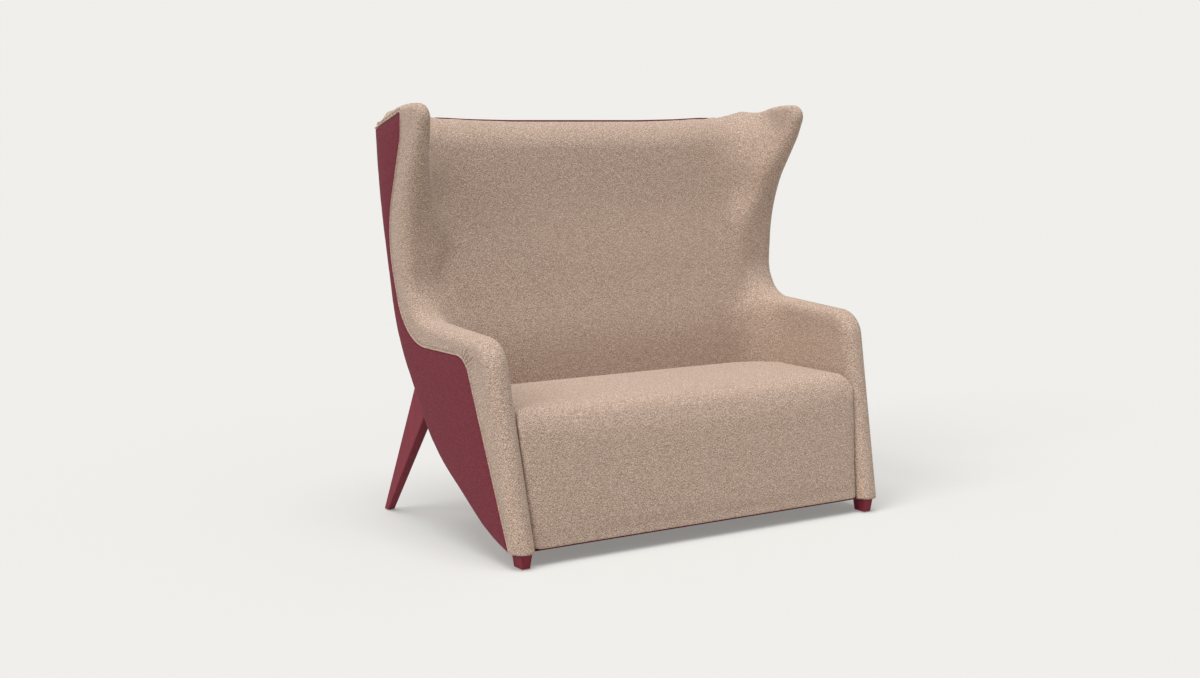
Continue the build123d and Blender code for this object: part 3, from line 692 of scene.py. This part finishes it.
burgundy_lacquer = wood_material(
    "burgundy_lacquer", (124, 30, 48), (111, 25, 41), 30.0, 0.00015, 1.6, coat=0.04
)
finishes = {
    "burgundy_lacquer": burgundy_lacquer,
    "burgundy_fabric": burgundy_cloth,
    "beige_fabric": beige_cloth,
    "plywood": wood_material("plywood", (205, 172, 130), (176, 138, 96), 40.0, 0.0002, 1.8),
    "beech": wood_material("beech", (208, 164, 122), (184, 134, 92), 55.0, 0.0002, 1.7),
    "foam": speckled_material("foam", (226, 214, 180), (204, 188, 150), 700, 0.9, 0.0006),
    "webbing": speckled_material("webbing", (62, 62, 65), (38, 38, 40), 500, 0.85, 0.0004),
    "steel": speckled_material("steel", (190, 190, 192), (160, 162, 166), 300, 0.35, 5e-5, 1.0),
    "nylon": speckled_material("nylon", (46, 44, 44), (34, 33, 33), 400, 0.45, 0.0001),
}
print("finishes:", ", ".join(finishes))

# %% [markdown]
# ## The shell: back, wings and arms
#
# On the real settee one skin of beige cloth runs from the end of an arm up into the wing and
# round into the back, with no seam in the hollows. So the arms, the wings and the back are fused
# into one piece, and the edges where the solids meet are smoothed away. A plain block inside
# the back closes the gaps between rails and ribs, so the skin runs round one full body.

# %% Fuse the shell
SHELL_NODES = [
    "wing_arm_cover_left",
    "wing_arm_cover_right",
    "wing_arm_foam_left",
    "wing_arm_foam_right",
    "back_cover",
    "back_foam",
]
INNER_NODES = [
    "side_board_left",
    "side_board_right",
    "top_rail",
    "lumbar_rail",
    "lower_back_rail",
    "back_rib_left",
    "back_rib_centre",
    "back_rib_right",
    "back_webbing",
    "seat_side_rail_left",
    "seat_side_rail_right",
]
SHELL_VOXEL = 0.006
SEAT_HEIGHT = 0.440
BACK_FOOT = 0.092
RAKE = math.radians(9.65)
CORE_HALF, CORE_LOW, CORE_HIGH = 0.648, 0.42, 1.21
CORE_FRONT, CORE_REAR = 0.014, 0.055
shell = copy_of_nodes(SHELL_NODES + INNER_NODES, "upholstered_shell")
bpy.ops.mesh.primitive_cube_add(size=1)
core = bpy.context.object
core.name = "core_of_back"
corners = points_of(core)
tall = np.where(corners[:, 2] > 0, CORE_HIGH, CORE_LOW)
half = CORE_HALF + tall * math.tan(LEAN)
deep = np.where(corners[:, 1] > 0, CORE_REAR, CORE_FRONT)
face = BACK_FOOT + (tall - SEAT_HEIGHT) * math.tan(RAKE)
move_points(core, np.stack([np.sign(corners[:, 0]) * half, face + deep, tall], 1))
deselect_all()
core.select_set(True)
shell.select_set(True)
bpy.context.view_layer.objects.active = shell
bpy.ops.object.join()
shell = fuse(shell, SHELL_VOXEL)

# %% [markdown]
# The fused skin still has the hard hollows of the solids. The finished form is written as a
# field: it is zero on the skin, negative inside and positive outside. The wings and the back
# are two simple rounded forms, and the field joins them with a wide fillet. Then every corner
# of the skin is drawn onto the zero of the field.


# %% Distance from an outline on the side
CELL = 0.004
GRID_LOW = np.array([-0.52, -0.02])
GRID_SIZE = (240, 350)


def distance_map(path):
    """Distances from a path for a grid of places on the side, negative on its right."""
    line = np.array([point[:] for point in path])
    start, run = line[:-1], line[1:] - line[:-1]
    length = (run * run).sum(1)
    result = np.empty(GRID_SIZE)
    ups = GRID_LOW[1] + CELL * np.arange(GRID_SIZE[1])
    for column in range(GRID_SIZE[0]):
        spots = np.stack([np.full_like(ups, GRID_LOW[0] + CELL * column), ups], 1)
        away = spots[:, None, :] - start[None]
        share = np.clip((away * run).sum(2) / length, 0, 1)
        gap = away - run * share[..., None]
        square = (gap * gap).sum(2)
        nearest = square.argmin(1)
        rows = np.arange(len(ups))
        to = away[rows, nearest]
        side = run[nearest, 0] * to[:, 1] - run[nearest, 1] * to[:, 0]
        result[column] = np.sqrt(square[rows, nearest]) * np.sign(side)
    return result


def read_map(distances, back, up):
    """Distances from the outline at any places, read between the cells of its map."""
    across = np.clip((back - GRID_LOW[0]) / CELL, 0, GRID_SIZE[0] - 1.001)
    along = np.clip((up - GRID_LOW[1]) / CELL, 0, GRID_SIZE[1] - 1.001)
    i, j = across.astype(int), along.astype(int)
    u, v = across - i, along - j
    low = distances[i, j] * (1 - u) + distances[i + 1, j] * u
    high = distances[i, j + 1] * (1 - u) + distances[i + 1, j + 1] * u
    return low * (1 - v) + high * v


front_map = distance_map(FRONT)
seam_map = distance_map(SEAM)
rear_map = -distance_map(REAR)
print("outline maps", front_map.shape)

# %% [markdown]
# The wing is thin at its tip and grows thicker on its way down, until it runs into the back at
# the waist. There the fillet is small, because the wing's front and the back are level.


# %% The form of the shell
# The wing's thickness over its height, and the top line over the distance from the middle.
HEIGHTS = [0.45, 0.58, 0.68, 0.78, 0.86, 0.93, 1.00, 1.10, 1.20, 1.30]
THICKNESS = [0.074, 0.076, 0.082, 0.110, 0.140, 0.128, 0.092, 0.066, 0.050, 0.040]
TOP_ROLL = 0.095
TOP_LINE = [0, 0.25, 0.40, 0.50, 0.60, 0.64, 0.67, 0.70], [
    1.2535, 1.2540, 1.2590, 1.2655, 1.2730, 1.2770, 1.2740, 1.2500,
]
LUMBAR_SWELL, LUMBAR_HEIGHT, LUMBAR_SPREAD = 0.014, 0.57, 0.12
UPPER_HOLLOW, HOLLOW_HEIGHT, HOLLOW_SPREAD = 0.009, 0.97, 0.14
front_line = np.array([point[:] for point in FRONT if 0.60 < point.y < 1.24 and point.x < 0.20])
front_line = front_line[np.argsort(front_line[:, 1])]


def face_of_back(height):
    """How far back the face of the back lies, with its swell at the small of the back."""
    swell = LUMBAR_SWELL * np.exp(-(((height - LUMBAR_HEIGHT) / LUMBAR_SPREAD) ** 2))
    swell -= UPPER_HOLLOW * np.exp(-(((height - HOLLOW_HEIGHT) / HOLLOW_SPREAD) ** 2))
    return BACK_FOOT + (height - SEAT_HEIGHT) * math.tan(RAKE) - swell


FINE = np.arange(0.30, 1.42, 0.01)


def evened(line, spread=5):
    """A line over the fine heights with its corners smoothed away."""
    window = np.hanning(2 * spread + 1)
    longer = np.pad(line, spread, mode="edge")
    return np.convolve(longer, window / window.sum(), mode="valid")


thickness_line = evened(np.interp(FINE, HEIGHTS, THICKNESS))
stand_out = face_of_back(FINE) - np.interp(FINE, front_line[:, 1], front_line[:, 0])
least = 0.030 + 0.060 * ramp(FINE, 0.80, 0.98)
fillet_line = evened(np.clip(1.5 * stand_out, least, 0.150 + 0.040 * ramp(FINE, 0.9, 1.0)), 8)
fillet_line *= np.interp(FINE, [1.10, 1.20, 1.30], [1.0, 0.90, 0.50])


NOSE_SHARE = 0.48
LAP, LAP_START, LAP_END = 0.012, 0.170, 0.050
SKIN_DEPTH = 0.004


def shell_field(points):
    """Zero on the skin of the shell, negative inside it and positive outside."""
    depth, up = side_places(points)

    # The wing is as thick as its line says, behind its front outline, with a rounded nose.
    thickness = np.interp(up, FINE, thickness_line)
    nose = np.minimum(NOSE_RADIUS, thickness * NOSE_SHARE)
    ahead = read_map(front_map, points[:, 1], up) + nose
    aside = np.abs(depth - thickness / 2) - (thickness / 2 - nose)
    wing = np.hypot(np.maximum(ahead, 0), np.maximum(aside, 0))
    wing += np.minimum(np.maximum(ahead, aside), 0) - nose

    # The back lies behind its face and below the top line, with a rolled edge. Near a wing its
    # face keeps behind the wing's front, and it ends just under the side's outer face.
    top = np.interp(np.abs(points[:, 0]), *TOP_LINE)
    face = face_of_back(points[:, 2])
    wing_front = np.interp(up, front_line[:, 1], front_line[:, 0])
    lap = np.maximum(wing_front + LAP - face, 0) * ramp(depth, LAP_START, LAP_END)
    face = face + lap
    out = (face - points[:, 1]) * math.cos(RAKE) + TOP_ROLL
    above = points[:, 2] - top + TOP_ROLL
    back = np.hypot(np.maximum(out, 0), np.maximum(above, 0))
    back += np.minimum(np.maximum(out, above), 0) - TOP_ROLL
    back = np.maximum(back, SKIN_DEPTH - depth)

    # The fillet joins the two, and only on the wing's inner side.
    inner = ramp((depth - thickness + nose) / nose, -0.6, 0.9)
    fillet = np.interp(points[:, 2], FINE, fillet_line) * inner + 1e-4
    share = np.clip(0.5 + 0.5 * (back - wing) / fillet, 0, 1)
    return back + (wing - back) * share - fillet * share * (1 - share)


def field_and_slope(points, step=0.002):
    """The field and its slope in three directions."""
    here = shell_field(points)
    slope = np.empty_like(points)
    for axis in range(3):
        shift = np.zeros(3)
        shift[axis] = step
        slope[:, axis] = (shell_field(points + shift) - shell_field(points - shift)) / (2 * step)
    return here, slope


MOST_STEP = 0.015


def draw_to_field(piece, rounds, share=1.0):
    """Move the corners that belong to the visible skin onto the zero of the field.

    A corner is visible where its normal agrees with the field's slope, or faces forward above
    the seat. It has to lie beyond the seam or deep in the side, inside the rear outline or on
    the rolled top, and clear of the floor.
    """
    places = points_of(piece)
    depth, up = side_places(places)
    here, slope = field_and_slope(places)
    steep = np.linalg.norm(slope, axis=1) + 1e-6
    normals = normals_of(piece)
    agree = (normals * slope).sum(1) / steep
    beside = read_map(seam_map, places[:, 1], up)
    beige = ramp(beside, -0.002, 0.004) + ramp(depth, 0.012, 0.020)
    ahead = ramp(places[:, 2], 0.46, 0.52) * ramp(normals[:, 1], 0.3, -0.1)
    visible = np.clip(ramp(agree, 0.1, 0.5) + ahead, 0, 1) * np.clip(beige, 0, 1)
    inside = ramp(read_map(rear_map, places[:, 1], up), 0.011, 0.026)
    on_top = ramp(normals[:, 2], 0.5, 0.8) * ramp(places[:, 2], 1.20, 1.23)
    visible *= np.maximum(inside, on_top)
    visible *= ramp(places[:, 2], 0.044, 0.060)
    for _ in range(rounds):
        here, slope = field_and_slope(places)
        square = (slope * slope).sum(1) + 0.05
        length = np.clip(here, -MOST_STEP, MOST_STEP) / square
        places -= (slope.T * length * visible).T * share
    move_points(piece, places)
    left = float(np.abs(here * (visible > 0.9)).max()) * 1000
    print("largest distance left", round(left, 2), "mm")
    return visible


# %% Draw the shell onto its form
def hollow_mask(places):
    """1 in the hollows between the wings and the back."""
    depth, _ = side_places(places)
    mask = ramp(depth, 0.050, 0.095) * ramp(depth, 0.380, 0.280)
    return mask * ramp(places[:, 2], 0.50, 0.56) * ramp(places[:, 2], 1.235, 1.180)


def waist_mask(places):
    """1 at the waist, where the arm turns up into the wing, and 0 near the seam."""
    depth, up = side_places(places)
    beside = read_map(seam_map, places[:, 1], up)
    mask = ramp(places[:, 2], 0.655, 0.700) * ramp(places[:, 2], 0.850, 0.800)
    return mask * ramp(beside, 0.020, 0.045) * ramp(depth, 0.20, 0.15)


def rim_mask(places):
    """1 along the top of the back and round its rear corners."""
    aside = np.abs(places[:, 0])
    corner = ramp(places[:, 1], 0.17, 0.21) * ramp(aside, 0.722, 0.700)
    return np.maximum(ramp(aside, 0.695, 0.660), corner) * ramp(places[:, 2], 1.222, 1.240)


PANEL_DEPTH = 0.011
for _ in range(3):
    visible = draw_to_field(shell, 4, 0.6)
    smooth(shell, 10, visible)
    shell = fuse(shell, SHELL_VOXEL)
visible = draw_to_field(shell, 6)
smooth(shell, 4, visible)
draw_to_field(shell, 3)
smooth(shell, 60, hollow_mask(points_of(shell)) * visible)
places = points_of(shell)
smooth(shell, 16, np.maximum(waist_mask(places), rim_mask(places)) * visible)

# What lies under the outer panels is pushed in, so the panels have room.
places = points_of(shell)
depth, up = side_places(places)
covered = (read_map(seam_map, places[:, 1], up) < -0.005) & (depth < PANEL_DEPTH)
places[covered, 0] -= (np.sign(places[:, 0]) * (PANEL_DEPTH - depth))[covered]
move_points(shell, places)

# %% [markdown]
# Where the seam turns on top of the arm, the cloth of the roll is gathered. It lies in short
# creases that fan out from the seam. The skin is cut finer there before they are pressed in.
# Each crease has its angle about the centre of the turn, where it starts and ends along the
# way out from the seam, and how deep it is.


# %% Creases at the turn of the seam
def refine(piece, chosen, cuts):
    """Cut the chosen faces of a mesh finer."""
    make_active(piece)
    bpy.ops.object.mode_set(mode="EDIT")
    bpy.ops.mesh.select_mode(type="FACE")
    bpy.ops.mesh.select_all(action="DESELECT")
    bpy.ops.object.mode_set(mode="OBJECT")
    piece.data.polygons.foreach_set("select", chosen)
    bpy.ops.object.mode_set(mode="EDIT")
    bpy.ops.mesh.subdivide(number_cuts=cuts)
    bpy.ops.mesh.select_mode(type="VERT")
    bpy.ops.object.mode_set(mode="OBJECT")


def middles_of(piece):
    """The middles of a mesh's faces as an array."""
    flat = np.empty(len(piece.data.polygons) * 3, np.float32)
    piece.data.polygons.foreach_get("center", flat)
    return flat.reshape(-1, 3).astype(float)


TURN_CENTRE, TURN_RADIUS = (-0.1537, 0.5108), 0.071
PATCH_ANGLES, PATCH_LENGTH, PATCH_DEPTH = (96, 168), 0.080, 0.050
CREASE_FAN = 120
CREASE_WIDTH = 0.0021
RIDGE_SHARE, RIDGE_ASIDE, RIDGE_WIDTH = 0.45, 0.0052, 0.0030
CREASES = [
    (111, 0.006, 0.042, 0.0018),
    (120, 0.004, 0.064, 0.0030),
    (129, 0.005, 0.054, 0.0024),
    (137, 0.004, 0.066, 0.0032),
    (146, 0.006, 0.050, 0.0022),
    (154, 0.008, 0.036, 0.0014),
]


def round_the_turn(points):
    """Distance from the seam, angle about the centre of its turn, and depth."""
    depth, up = side_places(points)
    back = points[:, 1] - TURN_CENTRE[0]
    rise = up - TURN_CENTRE[1]
    return np.hypot(back, rise) - TURN_RADIUS, np.degrees(np.arctan2(rise, back)), depth


away, angle, depth = round_the_turn(middles_of(shell))
gathered = (away > -0.008) & (away < PATCH_LENGTH + 0.002) & (depth < PATCH_DEPTH)
gathered &= (angle > PATCH_ANGLES[0]) & (angle < PATCH_ANGLES[1])
print("faces cut finer at the turns:", int(gathered.sum()))
refine(shell, gathered, 3)
places = points_of(shell)
away, angle, depth = round_the_turn(places)
patch = ramp(away, -0.004, 0.004) * ramp(away, PATCH_LENGTH, 0.072) * (depth < PATCH_DEPTH)
patch *= ramp(angle, PATCH_ANGLES[0], 102) * ramp(angle, PATCH_ANGLES[1], 162)
smooth(shell, 3, patch)
places = points_of(shell)
away, angle, depth = round_the_turn(places)
press = np.zeros(len(places))
for middle, start, end, deep in CREASES:
    aside = np.radians(angle - middle - away * CREASE_FAN) * (away + TURN_RADIUS)
    along = ramp(away, start, start + 0.006) * ramp(away, end, end * 0.55)
    press += deep * along * np.exp(-((aside / CREASE_WIDTH) ** 2))
    ridge = np.exp(-(((np.abs(aside) - RIDGE_ASIDE) / RIDGE_WIDTH) ** 2))
    press -= deep * RIDGE_SHARE * along * ridge
places -= normals_of(shell) * (press * patch)[:, None]
move_points(shell, places)

# %% [markdown]
# ## The seat
#
# The seat is a crowned wedge. Its front corners are wider than the space between the arms, so
# they swell out over the arms' rounded edges. A short cloth simulation blows the cover up over
# its foam. The cover is held where it is tacked down: below, behind and between the arms.


# %% Puff as cloth
LAST_FRAME = 20
CLOTH_MASS = 0.03


def puff_as_cloth(piece, held, pressure, most):
    """Blow a skin up as cloth. It is held by weight, and moves are eased off towards most."""
    rest = points_of(piece)
    group_name = weight_group(piece, held, 10)
    make_active(piece)
    cloth = piece.modifiers.new("puff", "CLOTH")
    cloth.settings.quality = 5
    cloth.settings.mass = CLOTH_MASS
    cloth.settings.use_pressure = True
    cloth.settings.uniform_pressure_force = pressure
    cloth.settings.effector_weights.gravity = 0
    cloth.settings.vertex_group_mass = group_name
    cloth.collision_settings.use_collision = False
    cloth.point_cache.frame_start = 1
    cloth.point_cache.frame_end = LAST_FRAME
    for number in range(1, LAST_FRAME + 1):
        bpy.context.scene.frame_set(number)
    bpy.ops.object.modifier_apply(modifier="puff")
    bpy.context.scene.frame_set(1)
    piece.vertex_groups.clear()
    moved = points_of(piece) - rest
    far = np.linalg.norm(moved, axis=1)
    print(piece.name, "puffed by up to", round(float(far.max()) * 1000, 1), "mm")
    moved /= (1 + far / most)[:, None]
    move_points(piece, rest + moved)


# %% Seat block
SEAT_VOXEL = 0.012
SEAT_FRONT = -0.372
FRONT_SLOPE = 0.1497
PRESSURE, MOST_PUFF = 4.0, 0.008
CORNER_FLARE, FLARE_DEPTH = 0.018, 0.035
seat = copy_of_nodes(["seat_cover", "seat_foam", "seat_front_board"], "seat_pad")
seat = fuse(seat, SEAT_VOXEL)
smooth(seat, 3)
places = points_of(seat)
behind_and_below = np.maximum(ramp(places[:, 1], 0.02, 0.14), ramp(places[:, 2], 0.10, 0.055))
by_the_arms = ramp(np.abs(places[:, 0]), 0.560, 0.590) * ramp(places[:, 1], -0.39, -0.35)
puff_as_cloth(seat, np.maximum(behind_and_below, by_the_arms), PRESSURE, MOST_PUFF)
apply_modifier(seat, "SUBSURF", levels=1)
places = points_of(seat)
front = SEAT_FRONT - (SEAT_HEIGHT - places[:, 2]) * FRONT_SLOPE
nearness = np.clip(1 - (places[:, 1] - front) / FLARE_DEPTH, 0, 1) ** 2
reach = ramp(np.abs(places[:, 0]), 0.540, 0.600) * ramp(places[:, 2], 0.03, 0.40)
places[:, 0] += np.sign(places[:, 0]) * CORNER_FLARE * nearness * reach
move_points(seat, places)
smooth(seat, 4)

# %% [markdown]
# ## Outer sides
#
# Each outer side is a board with thin wadding under burgundy cloth. The cloth is turned in along
# the seam and folded round the rear edge, so the panel is a shallow pillow with soft edges.

# %% Side panels
PANEL_VOXEL = 0.004
PILLOW, PILLOW_RUN = 0.0032, 0.030
TURN_IN, TURN_IN_RUN = 0.0012, 0.004
for hand, side in ((1, "right"), (-1, "left")):
    panel = copy_of_nodes([f"side_panel_{side}"], f"outer_side_{side}")
    panel = fuse(panel, PANEL_VOXEL)
    smooth(panel, 2)
    places = points_of(panel)
    depth, up = side_places(places)
    edge = np.minimum(
        np.maximum(-read_map(seam_map, places[:, 1], up), 0),
        np.maximum(read_map(rear_map, places[:, 1], up), 0),
    )
    outside = ramp(depth, 0.0055, 0.0020)
    pillow = PILLOW * (1 - np.exp(-edge / PILLOW_RUN)) - TURN_IN * np.exp(-edge / TURN_IN_RUN)
    places[:, 0] += hand * pillow * outside
    move_points(panel, places)
    finish_piece(panel, burgundy_cloth, [f"side_panel_{side}"])

# %% [markdown]
# ## Back and underside
#
# One sheet of burgundy cloth runs from the top of the back down and forward under the seat. It
# is stretched over a bent board with thin wadding. Its hem follows the top line of the back,
# and in front it runs on as a narrow lip below the seat.

# %% Shell cover
LOWEST, REAR_EDGE = 0.046, 0.3125
SHEET_INSET, SHEET_THICKNESS = 0.0072, 0.0034
SHEET_SWELL = 0.0030
HEM_LINE = [0, 0.25, 0.40, 0.50, 0.58, 0.64, 0.68], [0, 0, 0.003, 0.008, 0.007, -0.003, -0.023]
LINE = [point for point in REAR if LOWEST < point.y < 1.240]
LINE = [Vector((REAR_EDGE, 1.2530)), Vector((REAR_EDGE, 1.2465))] + LINE
LINE += [Vector((-0.4070, 0.0450)), Vector((-0.4140, 0.0452)), Vector((-0.4210, 0.0462))]
COLUMNS = 48
bpy.ops.mesh.primitive_grid_add(x_subdivisions=COLUMNS, y_subdivisions=len(LINE) - 1, size=1)
cover = bpy.context.object
cover.name = "shell_sheet"
places = points_of(cover)
order = np.round((places[:, 1] + 0.5) * (len(LINE) - 1)).astype(int)
line = np.array([point[:] for point in LINE])
half = HALF_WIDTH + line[order, 1] * math.tan(LEAN) - SHEET_INSET / math.cos(LEAN)
middle = 1 - (np.abs(places[:, 0]) * 2) ** 8
along = np.minimum(order, len(LINE) - 1 - order) / 8
swell = SHEET_SWELL * middle * ramp(along, 0, 1)
step = np.gradient(line, axis=0)
step /= np.linalg.norm(step, axis=1)[:, None]
places = np.stack(
    [
        places[:, 0] * 2 * half,
        line[order, 0] - swell * step[order, 1],
        line[order, 1] + swell * step[order, 0],
    ],
    1,
)
places[:, 2] += np.interp(np.abs(places[:, 0]), *HEM_LINE) * ramp(places[:, 2], 1.12, 1.25)
move_points(cover, places)
apply_modifier(cover, "SOLIDIFY", thickness=SHEET_THICKNESS, offset=0)
bpy.ops.object.mode_set(mode="EDIT")
bpy.ops.mesh.select_all(action="SELECT")
bpy.ops.mesh.normals_make_consistent(inside=False)
bpy.ops.object.mode_set(mode="OBJECT")
apply_modifier(cover, "BEVEL", width=0.0014, segments=2, limit_method="ANGLE")
finish_piece(cover, burgundy_cloth, ["shell_cover"])

# %% [markdown]
# ## Piping and stitches
#
# A thin beige piping is sewn into the seam between the roll and the burgundy side. Beside it a
# row of stitches holds the seam allowance down. Their thread is darker than the beige, so the row
# also paints the shade in the groove beside the piping. One stitch is modelled and then copied
# along.


# %% Piping along the seams
def tube_along(name, points, radius):
    """A round cord of cloth along a line of points, as a mesh with closed ends."""
    curve = bpy.data.curves.new(name, "CURVE")
    curve.dimensions = "3D"
    curve.bevel_depth = radius
    curve.bevel_resolution = 2
    curve.use_fill_caps = True
    spline = curve.splines.new("POLY")
    spline.points.add(len(points) - 1)
    for knot, point in zip(spline.points, points):
        knot.co = (*point, 1)
    piece = bpy.data.objects.new(name, curve)
    bpy.context.scene.collection.objects.link(piece)
    make_active(piece)
    bpy.ops.object.convert(target="MESH")
    return bpy.context.object


PIPING_RADIUS, PIPING_DEPTH = 0.0026, 0.0004
for hand, side in ((1, "right"), (-1, "left")):
    line = [on_side(hand, PIPING_DEPTH, point.x, point.y) for point in SEAM]
    line = [point for point in line if point.z > LOWEST and point.y < REAR_EDGE]
    welt = tube_along(f"seam_piping_{side}", line, PIPING_RADIUS)
    finish_piece(welt, beige_cloth, [f"seam_welt_{side}"])

# %% Stitches beside the piping, their dark thread painting the groove's shade
STITCH_PITCH, STITCH_LENGTH, STITCH_ASIDE = 0.0062, 0.0046, 0.0074
STITCH_RADIUS, STITCH_DEPTH, STITCH_LOWEST = 0.0006, 0.0001, 0.052
ROW_START, ROW_END = 0.020, 0.080
# The thread is darker than the beige cloth. The row is real stitching and also painted shade along
# the groove beside the piping.
stitch_thread_and_painted_shade = speckled_material("stitch_thread_and_painted_shade", (128, 100, 80), (108, 82, 64), 900, 0.7, 1e-4)
bpy.ops.mesh.primitive_cylinder_add(vertices=6, radius=STITCH_RADIUS, depth=STITCH_LENGTH)
pattern = bpy.context.object
bpy.ops.object.mode_set(mode="EDIT")
bpy.ops.mesh.select_all(action="SELECT")
bpy.ops.transform.rotate(value=math.radians(90), orient_axis="Y", center_override=(0, 0, 0))
bpy.ops.mesh.bevel(offset=0.0002, segments=1)
bpy.ops.object.mode_set(mode="OBJECT")
pattern_points = points_of(pattern)
pattern_faces = [list(face.vertices) for face in pattern.data.polygons]
bpy.data.objects.remove(pattern)
path = np.array([point[:] for point in SEAM])
runs = np.linalg.norm(np.diff(path, axis=0), axis=1)
travel = np.concatenate([[0], np.cumsum(runs)])
for hand, side in ((1, "right"), (-1, "left")):
    corners, faces = [], []
    for distance in np.arange(ROW_START, travel[-1] - ROW_END, STITCH_PITCH):
        here = np.array([np.interp(distance, travel, path[:, axis]) for axis in (0, 1)])
        ahead = np.array([np.interp(distance + 0.002, travel, path[:, axis]) for axis in (0, 1)])
        run = (ahead - here) / np.linalg.norm(ahead - here)
        spot = here + np.array([-run[1], run[0]]) * STITCH_ASIDE
        if spot[1] < STITCH_LOWEST:
            continue
        centre = on_side(hand, STITCH_DEPTH, *spot)
        along = (on_side(hand, STITCH_DEPTH, *(spot + run)) - centre).normalized()
        out = Vector((hand * math.cos(LEAN), 0, -math.sin(LEAN)))
        across = out.cross(along)
        axes = np.array([along[:], across[:], out[:]])
        first = len(corners) * len(pattern_points)
        corners.append(pattern_points @ axes + np.array(centre[:]))
        faces += [[first + index for index in face] for face in pattern_faces]
    mesh = bpy.data.meshes.new(f"stitches_{side}")
    mesh.from_pydata(np.concatenate(corners).tolist(), [], faces)
    row = bpy.data.objects.new(f"stitches_{side}", mesh)
    bpy.context.scene.collection.objects.link(row)
    finish_piece(row, stitch_thread_and_painted_shade)
    print("stitches on the", side, len(corners))

# %% [markdown]
# The beige skins end inside the burgundy sheet. Corners that come too near it, or through it,
# are moved straight away from the rear outline. The rolled top of the back is left as it is.


# %% Finish the soft pieces
COVER_GAP = 0.009
COVER_FRONT, COVER_TOP = -0.30, 1.15


def keep_inside_cover(piece, step=0.002):
    """Move corners that lie too near the burgundy sheet inwards, by the slope of its map."""
    places = points_of(piece)
    back, up = places[:, 1].copy(), places[:, 2].copy()
    short = np.maximum(COVER_GAP - read_map(rear_map, back, up), 0)
    short *= (back > COVER_FRONT) & (up < COVER_TOP)
    along = read_map(rear_map, back + step, up) - read_map(rear_map, back - step, up)
    above = read_map(rear_map, back, up + step) - read_map(rear_map, back, up - step)
    length = np.hypot(along, above) + 1e-9
    places[:, 1] += short * along / length
    places[:, 2] += short * above / length
    move_points(piece, places)
    print(piece.name, "moved inwards by up to", round(float(short.max()) * 1000, 1), "mm")


keep_inside_cover(shell)
keep_inside_cover(seat)
finish_piece(shell, beige_cloth, SHELL_NODES)
finish_piece(seat, beige_cloth, ["seat_cover", "seat_foam"])

# %% Give the carried-over nodes their finishes
for row in frame["record"]["subparts"]:
    node = cad_nodes[row["node"]]
    node.data.materials.clear()
    node.data.materials.append(finishes[row["material_slot"]])
